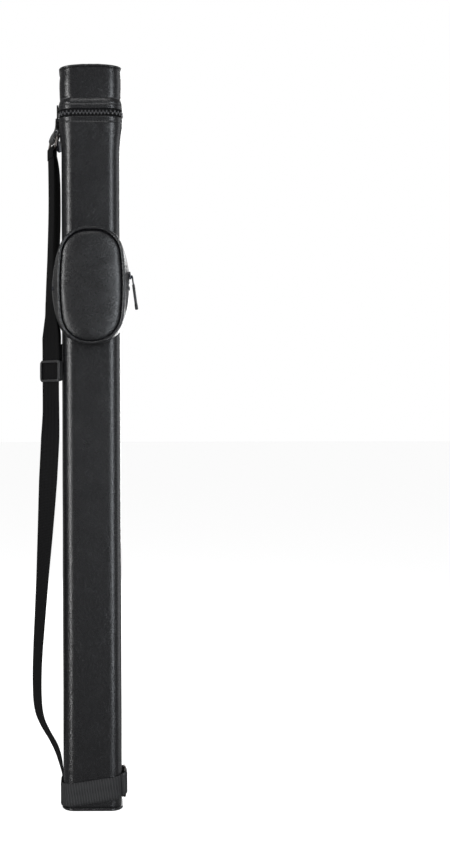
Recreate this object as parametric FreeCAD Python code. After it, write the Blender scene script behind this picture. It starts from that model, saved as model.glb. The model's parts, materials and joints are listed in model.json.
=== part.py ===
import FreeCAD, Part
import math
import os

# A hard two-piece cue case: a rounded-rectangle tube covered in leatherette, closed by a hinged, zipped lid,
# with a zipped pouch held on by a band, and a webbing shoulder strap between a ring under the lid's hinge
# and a tilted hook-and-loop cinch band round the foot.
# Millimetres, +Z up. The origin is the centre of the underside. The pouch faces -Y and the strap hangs at -X.

Vec = FreeCAD.Vector
OUT = "parts"
os.makedirs(OUT, exist_ok=True)

# ---- driving dimensions -------------------------------------------------------------------------------------
total_height = 825.0
body_width = 65.0
body_depth = 48.0
corner_radius = 13.0

cover_thickness = 1.0
core_wall = 2.0
liner_gap = 0.2          # between pieces that lie on each other round the tube

zip_height = 770.5       # the parting line between body and lid
flare = 3.2              # how far the mouth stands out beyond the straight tube
flare_start = 729.0
flare_end = 762.0
zip_edge = 4.3           # from the parting line to the edge of each cover
zip_gap = 0.3            # half of the open gap between the two halves

lid_grow = 1.7           # the lid is this much bigger all round than the tube
lid_core_wall = 1.6
lid_flare_top = 790.0
lid_flare_bottom = 778.0
lid_board = 3.4
lid_panel = 2.4
lining_thickness = 0.6
pad_thickness = 6.0

tape_thickness = 0.8
coil_height = 1.2
coil_width = 1.4

base_panel_thickness = 1.2
base_board_thickness = 5.0
piping_radius = 1.6
bottom_pad_thickness = 9.0

butt_bore_radius = 16.5
shaft_bore_radius = 8.0
tube_wall = 1.0
butt_x = -11.0
shaft_x = 17.6
shaft_y = 9.6
mouth_plate_top = 781.0
mouth_plate_thickness = 4.0
spacer_height = 30.0
spacer_levels = (60.0, 400.0, 746.0)

pouch_middle = 577.0     # height of the fold line and of the two ends of the pouch's zip
pouch_wall = 1.2
pouch_back = -25.5       # rear seam of the gusset
pouch_zip_rear = -35.0
pouch_zip_front = -45.0
pouch_front = -55.5      # front edge of the gusset
pouch_zip_line = -40.0
panel_crown = 4.2
fold_y = -60.5
half_gap = 0.15
# half width, top, bottom, side radius, top corner radius, bottom corner radius
rear_outline = (43.0, 635.0, 518.0, 115.0, 24.0, 26.0)
zip_outline = (41.3, 637.5, 515.5, 130.0, 27.0, 28.0)
front_outline = (36.3, 639.3, 513.8, 300.0, 30.0, 33.0)

band_low = 551.0
band_high = 595.0
band_thickness = 1.2
band_turn = -5.0         # where the band leaves the side of the tube for the pouch's edge

webbing_width = 25.0
webbing_thickness = 1.3
tab_width = 22.0
tab_thickness = 2.0
tab_top = 782.5
tab_sewn_low = 764.5
ring_wire = 1.5
ring_half_width = 14.5
ring_corner = 1.9
ring_top_out = 8.5       # the ring's bars stand out from the tube's strap side by these
ring_bottom_out = 10.7
ring_top_z = 747.0
ring_bottom_z = 735.2
ring_turn = 16.0         # the ring's rear end stands further out than its front end
pin_clearance = 0.06

glide_height = 24.0
glide_width = 31.0
glide_z = 486.0
glide_bar = 3.2
centre_bar_radius = 1.3
sewn_leg = 30.0

cinch_tilt = 8.5         # degrees, higher on the +X side
cinch_height = 25.0
cinch_low = 4.004        # its lower edge at the strap side
cinch_thickness = 1.5
foot_thickness = 1.3
foot_low = 9.0
cinch_bar_y = 5.5
cinch_wire = 1.5
cinch_ring_height = 32.0
tail_end_x = 13.7
patch_thickness = 0.6
hook_thickness = 0.4
moving_gap = 0.3

slider_angle = 38.0      # degrees round the rear strap-side corner, from the strap side
slider_length = 9.0
pull_width = 9.2
pull_length = 33.0
pull_thickness = 2.0
pouch_slider_rise = 11.5
pouch_slider_gap = 0.6    # between the slider and the teeth, enough for the front to swing past it
pouch_coil_rise = 0.9
pouch_pull_lean = 11.0
pouch_cord_radius = 1.5
pouch_cord_length = 23.0

# The middle line of each ply as (out, y, z, turn) sections: out is measured from the tube's strap side, and turn
# is the angle of the webbing's width from the Y axis.
strap_turn = 49.0        # where the buckle sits
strap_out = 14.0
strap_y = -12.0
long_ply_route = [
    (0.8, 0, 31.5, 0), (2.8, 0, 47, 6), (9.1, -1, 68, 15), (20.1, -2, 86, 17), (27.7, -4, 104, 18),
    (29.3, -6, 132, 20), (28.5, -8, 168, 23), (25.5, -10, 212, 29), (22.3, -11, 260, 36),
    (18.9, -12, 312, 45), (16.3, -12, 364, 54), (14.5, -12, 412, 55), (strap_out, strap_y, 450, strap_turn),
    (strap_out, strap_y, 458, strap_turn), (strap_out, strap_y, 516, strap_turn),
    (strap_out, strap_y, 524, strap_turn), (15.0, -4, 551, 26), (15.1, -2, 570, 20), (14.5, -0.6, 612, 17),
    (13.3, -0.8, 665, 16),
]
short_ply_route = [(11.8, -1.6, 551, 26), (10.7, 0.2, 568, 20), (9.1, 1.2, 600, 18), (6.8, 1.6, 640, 17),
                   (7.0, 1.0, 690, 16)]
short_ply_end = 501.0    # inside the sewn end
ply_pitch = 3.65         # between the two plies at the buckle
section_steps = 4        # intermediate sections between two of those above

# ---- values that follow ---------------------------------------------------------------------------------------
side_x = body_width / 2
face_y = body_depth / 2
ring_top_bar = (-side_x - ring_top_out, ring_top_z)
ring_bottom_bar = (-side_x - ring_bottom_out, ring_bottom_z)
strap_x = -side_x - strap_out
long_ply_sections = [(-side_x - out, y, z, turn) for out, y, z, turn in long_ply_route]
short_ply_sections = [(-side_x - out, y, z, turn) for out, y, z, turn in short_ply_route]
cinch_slope = math.tan(math.radians(cinch_tilt))
cinch_z = cinch_low + cinch_height / 2 * math.hypot(1, cinch_slope) + cinch_slope * side_x
centre_x = side_x - corner_radius
centre_y = face_y - corner_radius
core_out = -cover_thickness
core_in = core_out - core_wall
body_cover_top = zip_height - zip_edge
lid_cover_low = zip_height + zip_edge
tape_out = flare - cover_thickness
tape_in = tape_out - tape_thickness
lid_core_out = lid_grow - cover_thickness
lid_core_in = lid_core_out - lid_core_wall
board_top = total_height - lid_panel
board_low = board_top - lid_board
base_board_low = base_panel_thickness
base_board_high = base_board_low + base_board_thickness
bore_floor = base_board_high + bottom_pad_thickness
plate_low = mouth_plate_top - mouth_plate_thickness
core_top = zip_height - 2.0
loop_low = 724.5         # lower end of the strap's loop on the ring
inside_fit = core_in - liner_gap

BIG = 2000.0


# ---- helpers --------------------------------------------------------------------------------------------------
def save(name, shape):
    """Write one piece to its own file."""
    shape.exportStep(f"{OUT}/{name}.step")
    print(f"{name:24s} solids {len(shape.Solids):3d}  volume {shape.Volume / 1000:9.3f} cm3")


def block(x0, x1, y0, y1, z0, z1):
    """A box between two corners."""
    return Part.makeBox(x1 - x0, y1 - y0, z1 - z0, Vec(x0, y0, z0))


def outline(grow, z):
    """The tube's rounded-rectangle section grown outwards by grow, as a closed wire at height z."""
    radius = corner_radius + grow
    centres = [(centre_x, centre_y), (-centre_x, centre_y), (-centre_x, -centre_y), (centre_x, -centre_y)]
    arcs = []
    for turn, (cx, cy) in enumerate(centres):
        points = [
            Vec(cx + radius * math.cos(a), cy + radius * math.sin(a), z)
            for a in (math.radians(90 * turn + step) for step in (0, 45, 90))
        ]
        arcs.append(Part.Arc(*points).toShape())
    edges = []
    for turn, arc in enumerate(arcs):
        following = arcs[(turn + 1) % 4]
        edges.append(arc)
        edges.append(Part.makeLine(arc.Vertexes[-1].Point, following.Vertexes[0].Point))
    return Part.Wire(edges)


def prism(grow, low, high):
    """The section grown by grow, filled, between two heights."""
    return Part.Face(outline(grow, low)).extrude(Vec(0, 0, high - low))


def shell(inner, outer, low, high):
    """The wall between two grown sections."""
    return prism(outer, low, high).cut(prism(inner, low, high))


def stack(levels):
    """A solid through (grow, z) levels, straight or tapering between each two."""
    solid = None
    for (grow_a, low), (grow_b, high) in zip(levels, levels[1:]):
        if grow_a == grow_b:
            stage = prism(grow_a, low, high)
        else:
            stage = Part.makeLoft([outline(grow_a, low), outline(grow_b, high)], True, True)
        solid = stage if solid is None else solid.fuse(stage)
    return solid.removeSplitter()


def grown(levels, by):
    """The same levels, each section grown by the same amount."""
    return [(grow + by, z) for grow, z in levels]


def edge_piping(grow, z):
    """A round cord along the section's edge."""
    path = outline(grow, z)
    start = path.Vertexes[0].Point
    profile = Part.Wire(Part.makeCircle(piping_radius, start, Vec(0, 1, 0)))
    return path.makePipeShell([profile], True, False)


def oval(shape, shrink, y):
    """A pouch outline at depth y, drawn in by shrink: flat top and bottom, round corners, bowed sides."""
    half, top, bottom, side, top_r, bottom_r = shape
    half, top, bottom = half - shrink, top - shrink, bottom + shrink
    side, top_r, bottom_r = side - shrink, top_r - shrink, bottom_r - shrink
    cx = half - side
    top_c = (cx + math.sqrt((side - top_r) ** 2 - (top - top_r - pouch_middle) ** 2), top - top_r)
    low_c = (cx + math.sqrt((side - bottom_r) ** 2 - (bottom + bottom_r - pouch_middle) ** 2), bottom + bottom_r)

    def on_circle(centre, radius, angle):
        return centre[0] + radius * math.cos(angle), centre[1] + radius * math.sin(angle)

    up = math.atan2(top_c[1] - pouch_middle, top_c[0] - cx)
    down = math.atan2(low_c[1] - pouch_middle, low_c[0] - cx)
    right = [
        [(top_c[0], top), on_circle(top_c, top_r, (up + math.pi / 2) / 2), on_circle(top_c, top_r, up)],
        [on_circle(top_c, top_r, up), (half, pouch_middle), on_circle(low_c, bottom_r, down)],
        [on_circle(low_c, bottom_r, down), on_circle(low_c, bottom_r, (down - math.pi / 2) / 2), (low_c[0], bottom)],
    ]
    left = [[(-x, z) for x, z in reversed(arc)] for arc in reversed(right)]
    arcs = [Part.Arc(*[Vec(x, y, z) for x, z in arc]).toShape() for arc in right + left]
    bottom_line = Part.makeLine(Vec(low_c[0], y, bottom), Vec(-low_c[0], y, bottom))
    top_line = Part.makeLine(Vec(-top_c[0], y, top), Vec(top_c[0], y, top))
    return Part.Wire(arcs[:3] + [bottom_line] + arcs[3:] + [top_line])


def pouch_prism(shape, shrink, rear, front):
    """A pouch outline filled and carried forward from rear to front."""
    return Part.Face(oval(shape, shrink, rear)).extrude(Vec(0, front - rear, 0))


def pouch_loft(shape_a, shrink_a, rear, shape_b, shrink_b, front):
    """A straight-sided solid from one pouch outline to another."""
    return Part.makeLoft([oval(shape_a, shrink_a, rear), oval(shape_b, shrink_b, front)], True, True)


def upper(shape):
    """The part of a pouch piece above the fold line."""
    return shape.common(block(-BIG, BIG, -BIG, BIG, pouch_middle + half_gap, BIG))


def lower(shape):
    """The part of a pouch piece below the fold line."""
    return shape.common(block(-BIG, BIG, -BIG, BIG, -BIG, pouch_middle - half_gap))


def rod(start, end, radius):
    """A round bar between two points."""
    return Part.makeCylinder(radius, (end - start).Length, start, end - start)


def bar_ring(half_a, half_b, corner, wire, centre, along_a, along_b):
    """A rounded-rectangle ring of round wire about a centre, its sides along two directions."""
    a_in, b_in = half_a - corner, half_b - corner
    edges = []
    previous = None
    first = None
    for turn, (sa, sb) in enumerate([(1, 1), (-1, 1), (-1, -1), (1, -1)]):
        middle = centre + along_a * (sa * a_in) + along_b * (sb * b_in)
        points = [
            middle + along_a * (corner * math.cos(a)) + along_b * (corner * math.sin(a))
            for a in (math.radians(90 * turn + step) for step in (0, 45, 90))
        ]
        if previous is not None:
            edges.append(Part.makeLine(previous, points[0]))
        edges.append(Part.Arc(*points).toShape())
        previous = points[2]
        first = first or points[0]
    edges.append(Part.makeLine(previous, first))
    path = Part.Wire(edges)
    profile = Part.Wire(Part.makeCircle(wire, first, along_b))
    return path.makePipeShell([profile], True, False)


def between(sections):
    """The same sections with more between them, on a smooth curve through the given ones."""
    def slope(index):
        before, after = sections[max(index - 1, 0)], sections[min(index + 1, len(sections) - 1)]
        return [(b - a) / (after[2] - before[2]) for a, b in zip(before, after)]

    finer = []
    for index in range(len(sections) - 1):
        start, end = sections[index], sections[index + 1]
        rise = end[2] - start[2]
        for step in range(section_steps):
            t = step / section_steps
            finer.append([
                a * (2 * t**3 - 3 * t**2 + 1) + b * (3 * t**2 - 2 * t**3)
                + rise * (m * (t**3 - 2 * t**2 + t) + n * (t**3 - t**2))
                for a, b, m, n in zip(start, end, slope(index), slope(index + 1))
            ])
    return finer + [list(sections[-1])]


def ribbon(sections, label):
    """Webbing through (x, y, z, turn) sections: a rectangle at each one, ruled from one to the next."""
    sections = between(sections)
    points = [Vec(x, y, z) for x, y, z, turn in sections]
    wires = []
    for index, (x, y, z, turn) in enumerate(sections):
        along = points[min(index + 1, len(points) - 1)] - points[max(index - 1, 0)]
        if index in (0, len(points) - 1):
            along = Vec(0, 0, 1)
        across = Vec(-math.sin(math.radians(turn)), math.cos(math.radians(turn)), 0)
        normal = across.cross(along).normalize() * (webbing_thickness / 2)
        side = across * (webbing_width / 2)
        corners = [points[index] + side * i + normal * j for i, j in ((-1, -1), (1, -1), (1, 1), (-1, 1))]
        wires.append(Part.makePolygon(corners + corners[:1]))
    solid = Part.makeLoft(wires, True, True)
    length = sum((b - a).Length for a, b in zip(points, points[1:]))
    part_of = solid.Volume / (length * webbing_thickness * webbing_width)
    print(f"{label}: length {length:.1f}, volume {part_of:.4f} of section times length")
    return solid


# ---- levels shared by the covers and what lies under them -----------------------------------------------------
body_levels = [(0.0, base_panel_thickness), (0.0, flare_start), (flare, flare_end), (flare, body_cover_top)]
lid_levels = [(flare, lid_cover_low), (flare, lid_flare_bottom), (lid_grow, lid_flare_top), (lid_grow, board_top)]


# ---- the tube ---------------------------------------------------------------------------------------------------
def tube_pieces():
    """The rigid tube, its base, its leatherette cover and the piping round the foot."""
    piping = edge_piping(-0.2, piping_radius + 0.3)
    cover = stack(body_levels).cut(stack(grown(body_levels, -cover_thickness))).cut(piping)
    panel = prism(-0.3, 0, base_panel_thickness).cut(piping)
    save("core_tube", shell(core_in, core_out, base_panel_thickness, core_top).cut(piping))
    save("base_board", prism(core_in, base_board_low, base_board_high))
    save("body_cover", cover)
    save("base_panel", panel)
    save("base_piping", piping)


def mouth_pieces():
    """The padded ring that makes the mouth flare, and the lower half of the zip."""
    tape = shell(tape_in, tape_out, flare_end, zip_height - zip_gap)
    inside = grown(body_levels, -cover_thickness)
    wedge = stack(inside).cut(prism(core_out, -1, total_height))
    wedge = wedge.common(block(-BIG, BIG, -BIG, BIG, flare_start + 4, core_top)).cut(tape)
    rim = shell(core_out, tape_in, body_cover_top - 0.1, core_top)
    save("mouth_stiffener", wedge.fuse(rim).removeSplitter())
    save("zip_tape_lower", tape)
    coil = shell(tape_out, tape_out + coil_height, zip_height - zip_gap - coil_width, zip_height - 0.2)
    save("zip_coil_lower", coil.cut(tab_room()))


def tab_room():
    """The stretch of the strap side that the hinge tab covers."""
    return block(-BIG, 0, -tab_width / 2 - 0.5, tab_width / 2 + 0.5, -BIG, BIG)


def bore_cutters(extra, low, high):
    """The three long cylinders that the cue's butt and shafts fill, made wider by extra."""
    cutters = [Part.makeCylinder(butt_bore_radius + extra, high - low, Vec(butt_x, 0, low))]
    for side in (-1, 1):
        cutters.append(Part.makeCylinder(shaft_bore_radius + extra, high - low, Vec(shaft_x, side * shaft_y, low)))
    return cutters


def inner_pieces():
    """Three lined tubes for a butt and two shafts, with what holds them in the case."""
    names = ("butt_tube", "shaft_tube_front", "shaft_tube_rear")
    outer = bore_cutters(tube_wall, bore_floor, plate_low)
    inner = bore_cutters(0, bore_floor, plate_low)
    for name, wall, hole in zip(names, outer, inner):
        save(name, wall.cut(hole))
    plate = prism(inside_fit, plate_low, mouth_plate_top)
    for hole in bore_cutters(0.5, plate_low - 1, mouth_plate_top + 1):
        plate = plate.cut(hole)
    save("mouth_plate", plate)
    spacers = []
    for level in spacer_levels:
        spacer = prism(inside_fit, level, level + spacer_height)
        for hole in bore_cutters(tube_wall + 0.05, level - 1, level + spacer_height + 1):
            spacer = spacer.cut(hole)
        spacers += spacer.Solids
    save("tube_spacers", Part.makeCompound(spacers))
    save("bottom_pad", prism(inside_fit, base_board_high, bore_floor))


# ---- the lid ----------------------------------------------------------------------------------------------------
def lid_pieces():
    """The lid's rigid ring and top, its cover, piping, lining and pad, and the upper half of the zip."""
    piping = edge_piping(lid_grow - 0.4, board_top)
    tape = shell(tape_in, tape_out, zip_height + zip_gap, lid_flare_bottom)
    core_low = zip_height + 1.5
    cover = stack(lid_levels).cut(stack(grown(lid_levels, -cover_thickness))).cut(piping)
    core = shell(lid_core_in, lid_core_out, core_low, board_low)
    wedge = stack(grown(lid_levels, -cover_thickness)).cut(prism(lid_core_out, 0, total_height))
    wedge = wedge.common(block(-BIG, BIG, -BIG, BIG, core_low, lid_flare_top - 3)).cut(tape)
    rim = shell(lid_core_out, tape_in, core_low, lid_cover_low + 0.1)
    coil = shell(tape_out, tape_out + coil_height, zip_height + 0.2, zip_height + zip_gap + coil_width)
    crown = stack([(lid_grow - 1.2, board_top), (lid_grow - 1.8, total_height - 1.0), (-3.0, total_height)])
    save("lid_core", core)
    save("lid_top_board", prism(lid_core_out, board_low, board_top).cut(piping))
    save("lid_cover", cover)
    save("lid_top_panel", crown.cut(piping))
    save("lid_piping", piping)
    save("lid_stiffener", wedge.fuse(rim).removeSplitter())
    save("lid_lining", shell(lid_core_in - lining_thickness, lid_core_in, core_low + 2, board_low - pad_thickness))
    save("lid_pad", prism(lid_core_in - liner_gap, board_low - pad_thickness, board_low))
    save("zip_tape_upper", tape)
    save("zip_coil_upper", coil.cut(tab_room()))
    inner = -(side_x + flare)
    tab = block(inner - tab_thickness, inner, -tab_width / 2, tab_width / 2, zip_height + zip_gap, tab_top)
    save("hinge_tab_upper", tab)


# ---- the tab, the ring and the strap ----------------------------------------------------------------------------
def bar_point(bar, y=0.0):
    """A point on a crossbar of the strap ring, before the ring is turned."""
    return Vec(bar[0], y, bar[1])


def ring_turned(shape):
    """A piece turned with the ring, about the upright through the middle of its top bar."""
    shape.rotate(bar_point(ring_top_bar), Vec(0, 0, 1), ring_turn)
    return shape


def tab_pieces():
    """The sewn tab under the hinge, and the ring that hangs in its loop with the strap's own loop."""
    inner = -(side_x + flare)
    half = tab_width / 2
    x, z = ring_top_bar
    loop_radius = ring_wire + pin_clearance + 1.6

    def edge(middle_x, half_thickness, height, turn):
        corners = [Vec(middle_x + i * half_thickness, j * half, height) for i, j in ((-1, -1), (1, -1), (1, 1), (-1, 1))]
        wire = Part.makePolygon(corners + corners[:1])
        wire.rotate(Vec(middle_x, 0, 0), Vec(0, 0, 1), turn)
        return wire

    sewn = block(inner - tab_thickness, inner, -half, half, tab_sewn_low, zip_height - zip_gap)
    top_edge = edge(inner - tab_thickness / 2, tab_thickness / 2, tab_sewn_low, 0)
    neck = Part.makeLoft([top_edge, edge(x, loop_radius, z, ring_turn)], True, True)
    barrel = ring_turned(rod(bar_point(ring_top_bar, -half), bar_point(ring_top_bar, half), loop_radius))
    hole = rod(bar_point(ring_top_bar, -half - 3), bar_point(ring_top_bar, half + 3), ring_wire + pin_clearance)
    tab = sewn.fuse([neck, barrel]).removeSplitter().cut(ring_turned(hole)).cut(stack(body_levels))
    save("hinge_tab_lower", tab)

    top, bottom = bar_point(ring_top_bar), bar_point(ring_bottom_bar)
    hang = top - bottom
    ring = bar_ring(ring_half_width, hang.Length / 2, ring_corner, ring_wire, bottom + hang * 0.5,
                    Vec(0, 1, 0), Vec(hang).normalize())
    save("strap_ring", ring_turned(ring))

    gap = ring_wire + 0.05
    outer = gap + webbing_thickness
    half = webbing_width / 2
    bx, bz = ring_bottom_bar
    loop = rod(bar_point(ring_bottom_bar, -half), bar_point(ring_bottom_bar, half), outer)
    loop = loop.fuse(block(bx - outer, bx + outer, -half, half, loop_low, bz)).removeSplitter()
    loop = loop.cut(rod(bar_point(ring_bottom_bar, -half - 1), bar_point(ring_bottom_bar, half + 1), gap))
    loop = loop.cut(block(bx - gap, bx + gap, -half - 1, half + 1, loop_low - 1, bz))
    save("strap_top_loop", ring_turned(loop))


def leg_section(side):
    """The section where a ply meets a leg of the strap's loop on the ring, side -1 outside and 1 inside."""
    offset = side * (ring_wire + 0.05 + webbing_thickness / 2)
    start = Part.Vertex(ring_bottom_bar[0] + offset, 0, loop_low - 0.5)
    point = ring_turned(start).Point
    return (point.x, point.y, point.z, ring_turn)


def at_buckle(shape):
    """A piece built square to the axes at the buckle, turned with the webbing there."""
    shape.rotate(Vec(strap_x, strap_y, 0), Vec(0, 0, 1), strap_turn)
    return shape


def strap_pieces():
    """The two plies of the strap, the slide buckle and the sewn end that holds its centre bar."""
    bar_x = strap_x + ply_pitch
    low = at_buckle(Part.Vertex(bar_x, strap_y, 0)).Point
    hidden = [(low.x, low.y, z, strap_turn) for z in (short_ply_end, 516, 524)]
    save("strap_long_ply", ribbon(long_ply_sections + [leg_section(-1)], "strap_long_ply"))
    save("strap_short_ply", ribbon(hidden + short_ply_sections + [leg_section(1)], "strap_short_ply"))

    half_w, half_h = glide_width / 2, glide_height / 2
    outer_face = strap_x - webbing_thickness / 2 - 0.15
    bar_outer = outer_face - 1.7
    rail_inner = bar_x + centre_bar_radius
    low, high = glide_z - half_h, glide_z + half_h
    frame = block(bar_outer, rail_inner, strap_y - half_w, strap_y + half_w, low, high)
    rim = [edge for edge in frame.Edges if abs(edge.Vertexes[0].Point.x - edge.Vertexes[-1].Point.x) > 1]
    frame = frame.makeFillet(3.0, rim)
    window = webbing_width / 2 + 0.4
    front, rear = strap_y - window, strap_y + window
    frame = frame.cut(block(bar_outer - 1, rail_inner + 1, front, rear, low + glide_bar, high - glide_bar))
    frame = frame.cut(block(outer_face, rail_inner + 1, front, rear, low - 1, high + 1))
    bar = rod(Vec(bar_x, front - 0.5, glide_z), Vec(bar_x, rear + 0.5, glide_z), centre_bar_radius)
    save("strap_buckle", at_buckle(frame.fuse(bar).removeSplitter()))

    gap = centre_bar_radius + 0.05
    wall = gap + 1.15
    front, rear = strap_y - webbing_width / 2, strap_y + webbing_width / 2
    end = rod(Vec(bar_x, front, glide_z), Vec(bar_x, rear, glide_z), wall)
    end = end.fuse(block(bar_x - wall, bar_x + wall, front, rear, glide_z, glide_z + sewn_leg)).removeSplitter()
    end = end.cut(rod(Vec(bar_x, front - 1, glide_z), Vec(bar_x, rear + 1, glide_z), gap))
    end = end.cut(block(bar_x - gap, bar_x + gap, front - 1, rear + 1, glide_z, glide_z + sewn_leg + 1))
    save("strap_sewn_end", at_buckle(end))


# ---- the cinch band round the foot --------------------------------------------------------------------------------
def cinch_slab():
    """The tilted slice of space that the cinch band fills."""
    slab = block(-100, 100, -100, 100, -cinch_height / 2, cinch_height / 2)
    slab.rotate(Vec(0, 0, 0), Vec(0, 1, 0), -cinch_tilt)
    slab.translate(Vec(0, 0, cinch_z))
    return slab


def plan_plate(points):
    """An outline drawn in plan, as tall as the foot's working space."""
    corners = [Vec(x, y, 0) for x, y in points]
    return Part.Face(Part.makePolygon(corners + corners[:1])).extrude(Vec(0, 0, 80))


def cinch_pieces():
    """The band, its ring, the loop patch on it and the tail that peels open."""
    slab = cinch_slab()
    band_in, band_out = 0.15, 0.15 + cinch_thickness
    foot_out = band_in + foot_thickness
    pivot_x = side_x + band_in + cinch_wire + 0.1 + cinch_thickness
    wrap = cinch_wire + 0.1 + cinch_thickness
    foot = shell(band_in, foot_out, foot_low, long_ply_sections[0][2])
    foot = foot.common(block(-BIG, 0, -webbing_width / 2, webbing_width / 2, 0, BIG))
    bump = shell(band_in, foot_out + cinch_thickness, 0, 80).common(block(-BIG, 0, -14.5, 14.5, 0, BIG))
    band = shell(band_in, band_out, 0, 80).fuse(bump)
    band = band.cut(block(0, BIG, -cinch_bar_y, cinch_bar_y, -1, BIG))
    band = band.common(slab).cut(foot)
    band = band.cut(Part.makeCylinder(wrap + moving_gap, 90, Vec(pivot_x, cinch_bar_y, 0)))
    band = band.cut(Part.makeCylinder(wrap, 90, Vec(pivot_x, -cinch_bar_y, 0)))
    save("strap_foot", foot)
    save("cinch_band", band)

    fold = plan_plate([
        (pivot_x + wrap, -cinch_bar_y), (pivot_x + wrap - cinch_thickness, -cinch_bar_y),
        (side_x + band_out, -centre_y - 0.2), (side_x + band_out, -centre_y - 1.2),
        (side_x + band_out + cinch_thickness, -centre_y - 0.2),
    ])
    front = Part.makeCylinder(wrap, 80, Vec(pivot_x, -cinch_bar_y, 0)).fuse(fold.cut(prism(band_out, -1, 90)))
    front = front.removeSplitter().cut(Part.makeCylinder(cinch_wire + 0.05, 90, Vec(pivot_x, -cinch_bar_y, -1)))
    save("cinch_ring_loop", front.common(slab))

    ring_z = cinch_z + pivot_x * cinch_slope
    ring = bar_ring(cinch_bar_y, cinch_ring_height / 2, 3.0, cinch_wire,
                    Vec(pivot_x, 0, ring_z), Vec(0, 1, 0), Vec(0, 0, 1))
    save("cinch_ring", ring)

    patch_out = band_out + patch_thickness
    patch = shell(band_out, patch_out, 0, 80).common(slab)
    patch = patch.common(block(-centre_x - 6, centre_x + 6, centre_y + 2, BIG, 0, 80))
    save("loop_patch", patch)

    hook_in = patch_out + moving_gap
    tail_in = hook_in + hook_thickness
    tail_out = tail_in + cinch_thickness
    reach = block(tail_end_x, BIG, centre_y, BIG, 0, 80)
    tail = shell(tail_in, tail_out, 0, 80).common(reach)
    lead = plan_plate([
        (pivot_x + wrap, cinch_bar_y), (pivot_x + wrap - cinch_thickness, cinch_bar_y),
        (side_x + tail_in, centre_y), (side_x + tail_out, centre_y),
    ])
    knuckle = Part.makeCylinder(wrap, 80, Vec(pivot_x, cinch_bar_y, 0))
    tail = tail.fuse(lead).fuse(knuckle).removeSplitter()
    tail = tail.cut(Part.makeCylinder(cinch_wire + pin_clearance, 90, Vec(pivot_x, cinch_bar_y, -1)))
    save("cinch_tail", tail.common(slab))
    hook = shell(hook_in, tail_in, 0, 80).common(block(tail_end_x, BIG, centre_y + 4, BIG, 0, 80))
    save("hook_patch", hook.common(slab))


# ---- the pouch ------------------------------------------------------------------------------------------------------
def pouch_body_solid(shrink):
    """The pouch's whole outer form, drawn in by shrink."""
    form = pouch_loft(rear_outline, shrink, pouch_back, zip_outline, shrink, pouch_zip_rear)
    form = form.fuse(pouch_prism(zip_outline, shrink, pouch_zip_rear, pouch_zip_front))
    form = form.fuse(pouch_loft(zip_outline, shrink, pouch_zip_front, front_outline, shrink, pouch_front))
    return form.removeSplitter()


def depth_slice(shape, rear, front):
    """The part of a pouch piece between two depths."""
    return shape.common(block(-BIG, BIG, front, rear, -BIG, BIG))


def pouch_pieces():
    """The pouch on its band: back panel, gusset, zip, and a front that folds down from its middle."""
    wall = pouch_body_solid(0).cut(pouch_body_solid(pouch_wall))
    tape = pouch_body_solid(0.3).cut(pouch_body_solid(0.3 + tape_thickness))
    coil = pouch_prism(zip_outline, -pouch_coil_rise, pouch_zip_rear, pouch_zip_front)
    coil = coil.cut(pouch_prism(zip_outline, 0.3, pouch_zip_rear, pouch_zip_front))
    line = pouch_zip_line
    save("pouch_back_panel", pouch_prism(rear_outline, 0, pouch_back, -face_y - moving_gap))
    save("pouch_gusset_lower", lower(wall))
    save("pouch_gusset_rear", upper(depth_slice(wall, pouch_back, line + 4)))
    save("pouch_gusset_front", upper(depth_slice(wall, line - 4, pouch_front)))
    save("pouch_tape_rear", upper(depth_slice(tape, line + 4, line + half_gap)))
    save("pouch_tape_front", upper(depth_slice(tape, line - half_gap, line - 4)))
    save("pouch_coil_rear", upper(depth_slice(coil, line + 1.4, line + half_gap)))
    save("pouch_coil_front", upper(depth_slice(coil, line - half_gap, line - 1.4)))

    panel = pouch_prism(front_outline, 1.6, pouch_front + 0.1, pouch_front - 1.6)
    crown = pouch_loft(front_outline, 1.6, pouch_front - 1.6, front_outline, 8.0, pouch_front - panel_crown)
    panel = panel.fuse(crown).removeSplitter()
    foam = pouch_prism(front_outline, 2.4, pouch_front + 2.0, pouch_front + 0.1)
    rim = oval(front_outline, -0.4, pouch_front - piping_radius)
    start = rim.Vertexes[0].Point
    towards = rim.Edges[0].tangentAt(rim.Edges[0].FirstParameter)
    piping = rim.makePipeShell([Part.Wire(Part.makeCircle(piping_radius - 0.1, start, towards))], True, False)
    for name, shape in (("pouch_panel", panel), ("pouch_foam", foam), ("pouch_piping", piping)):
        save(f"{name}_lower", lower(shape))
        save(f"{name}_upper", upper(shape))

    stops = []
    for side in (-1, 1):
        inner, outer = zip_outline[0] + 0.05, zip_outline[0] + 1.05
        low, high = sorted((side * inner, side * outer))
        stops.append(block(low, high, line - 4, line + 4, pouch_middle - 4.5, pouch_middle - 0.5))
    save("pouch_zip_stops", Part.makeCompound(stops))


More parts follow.
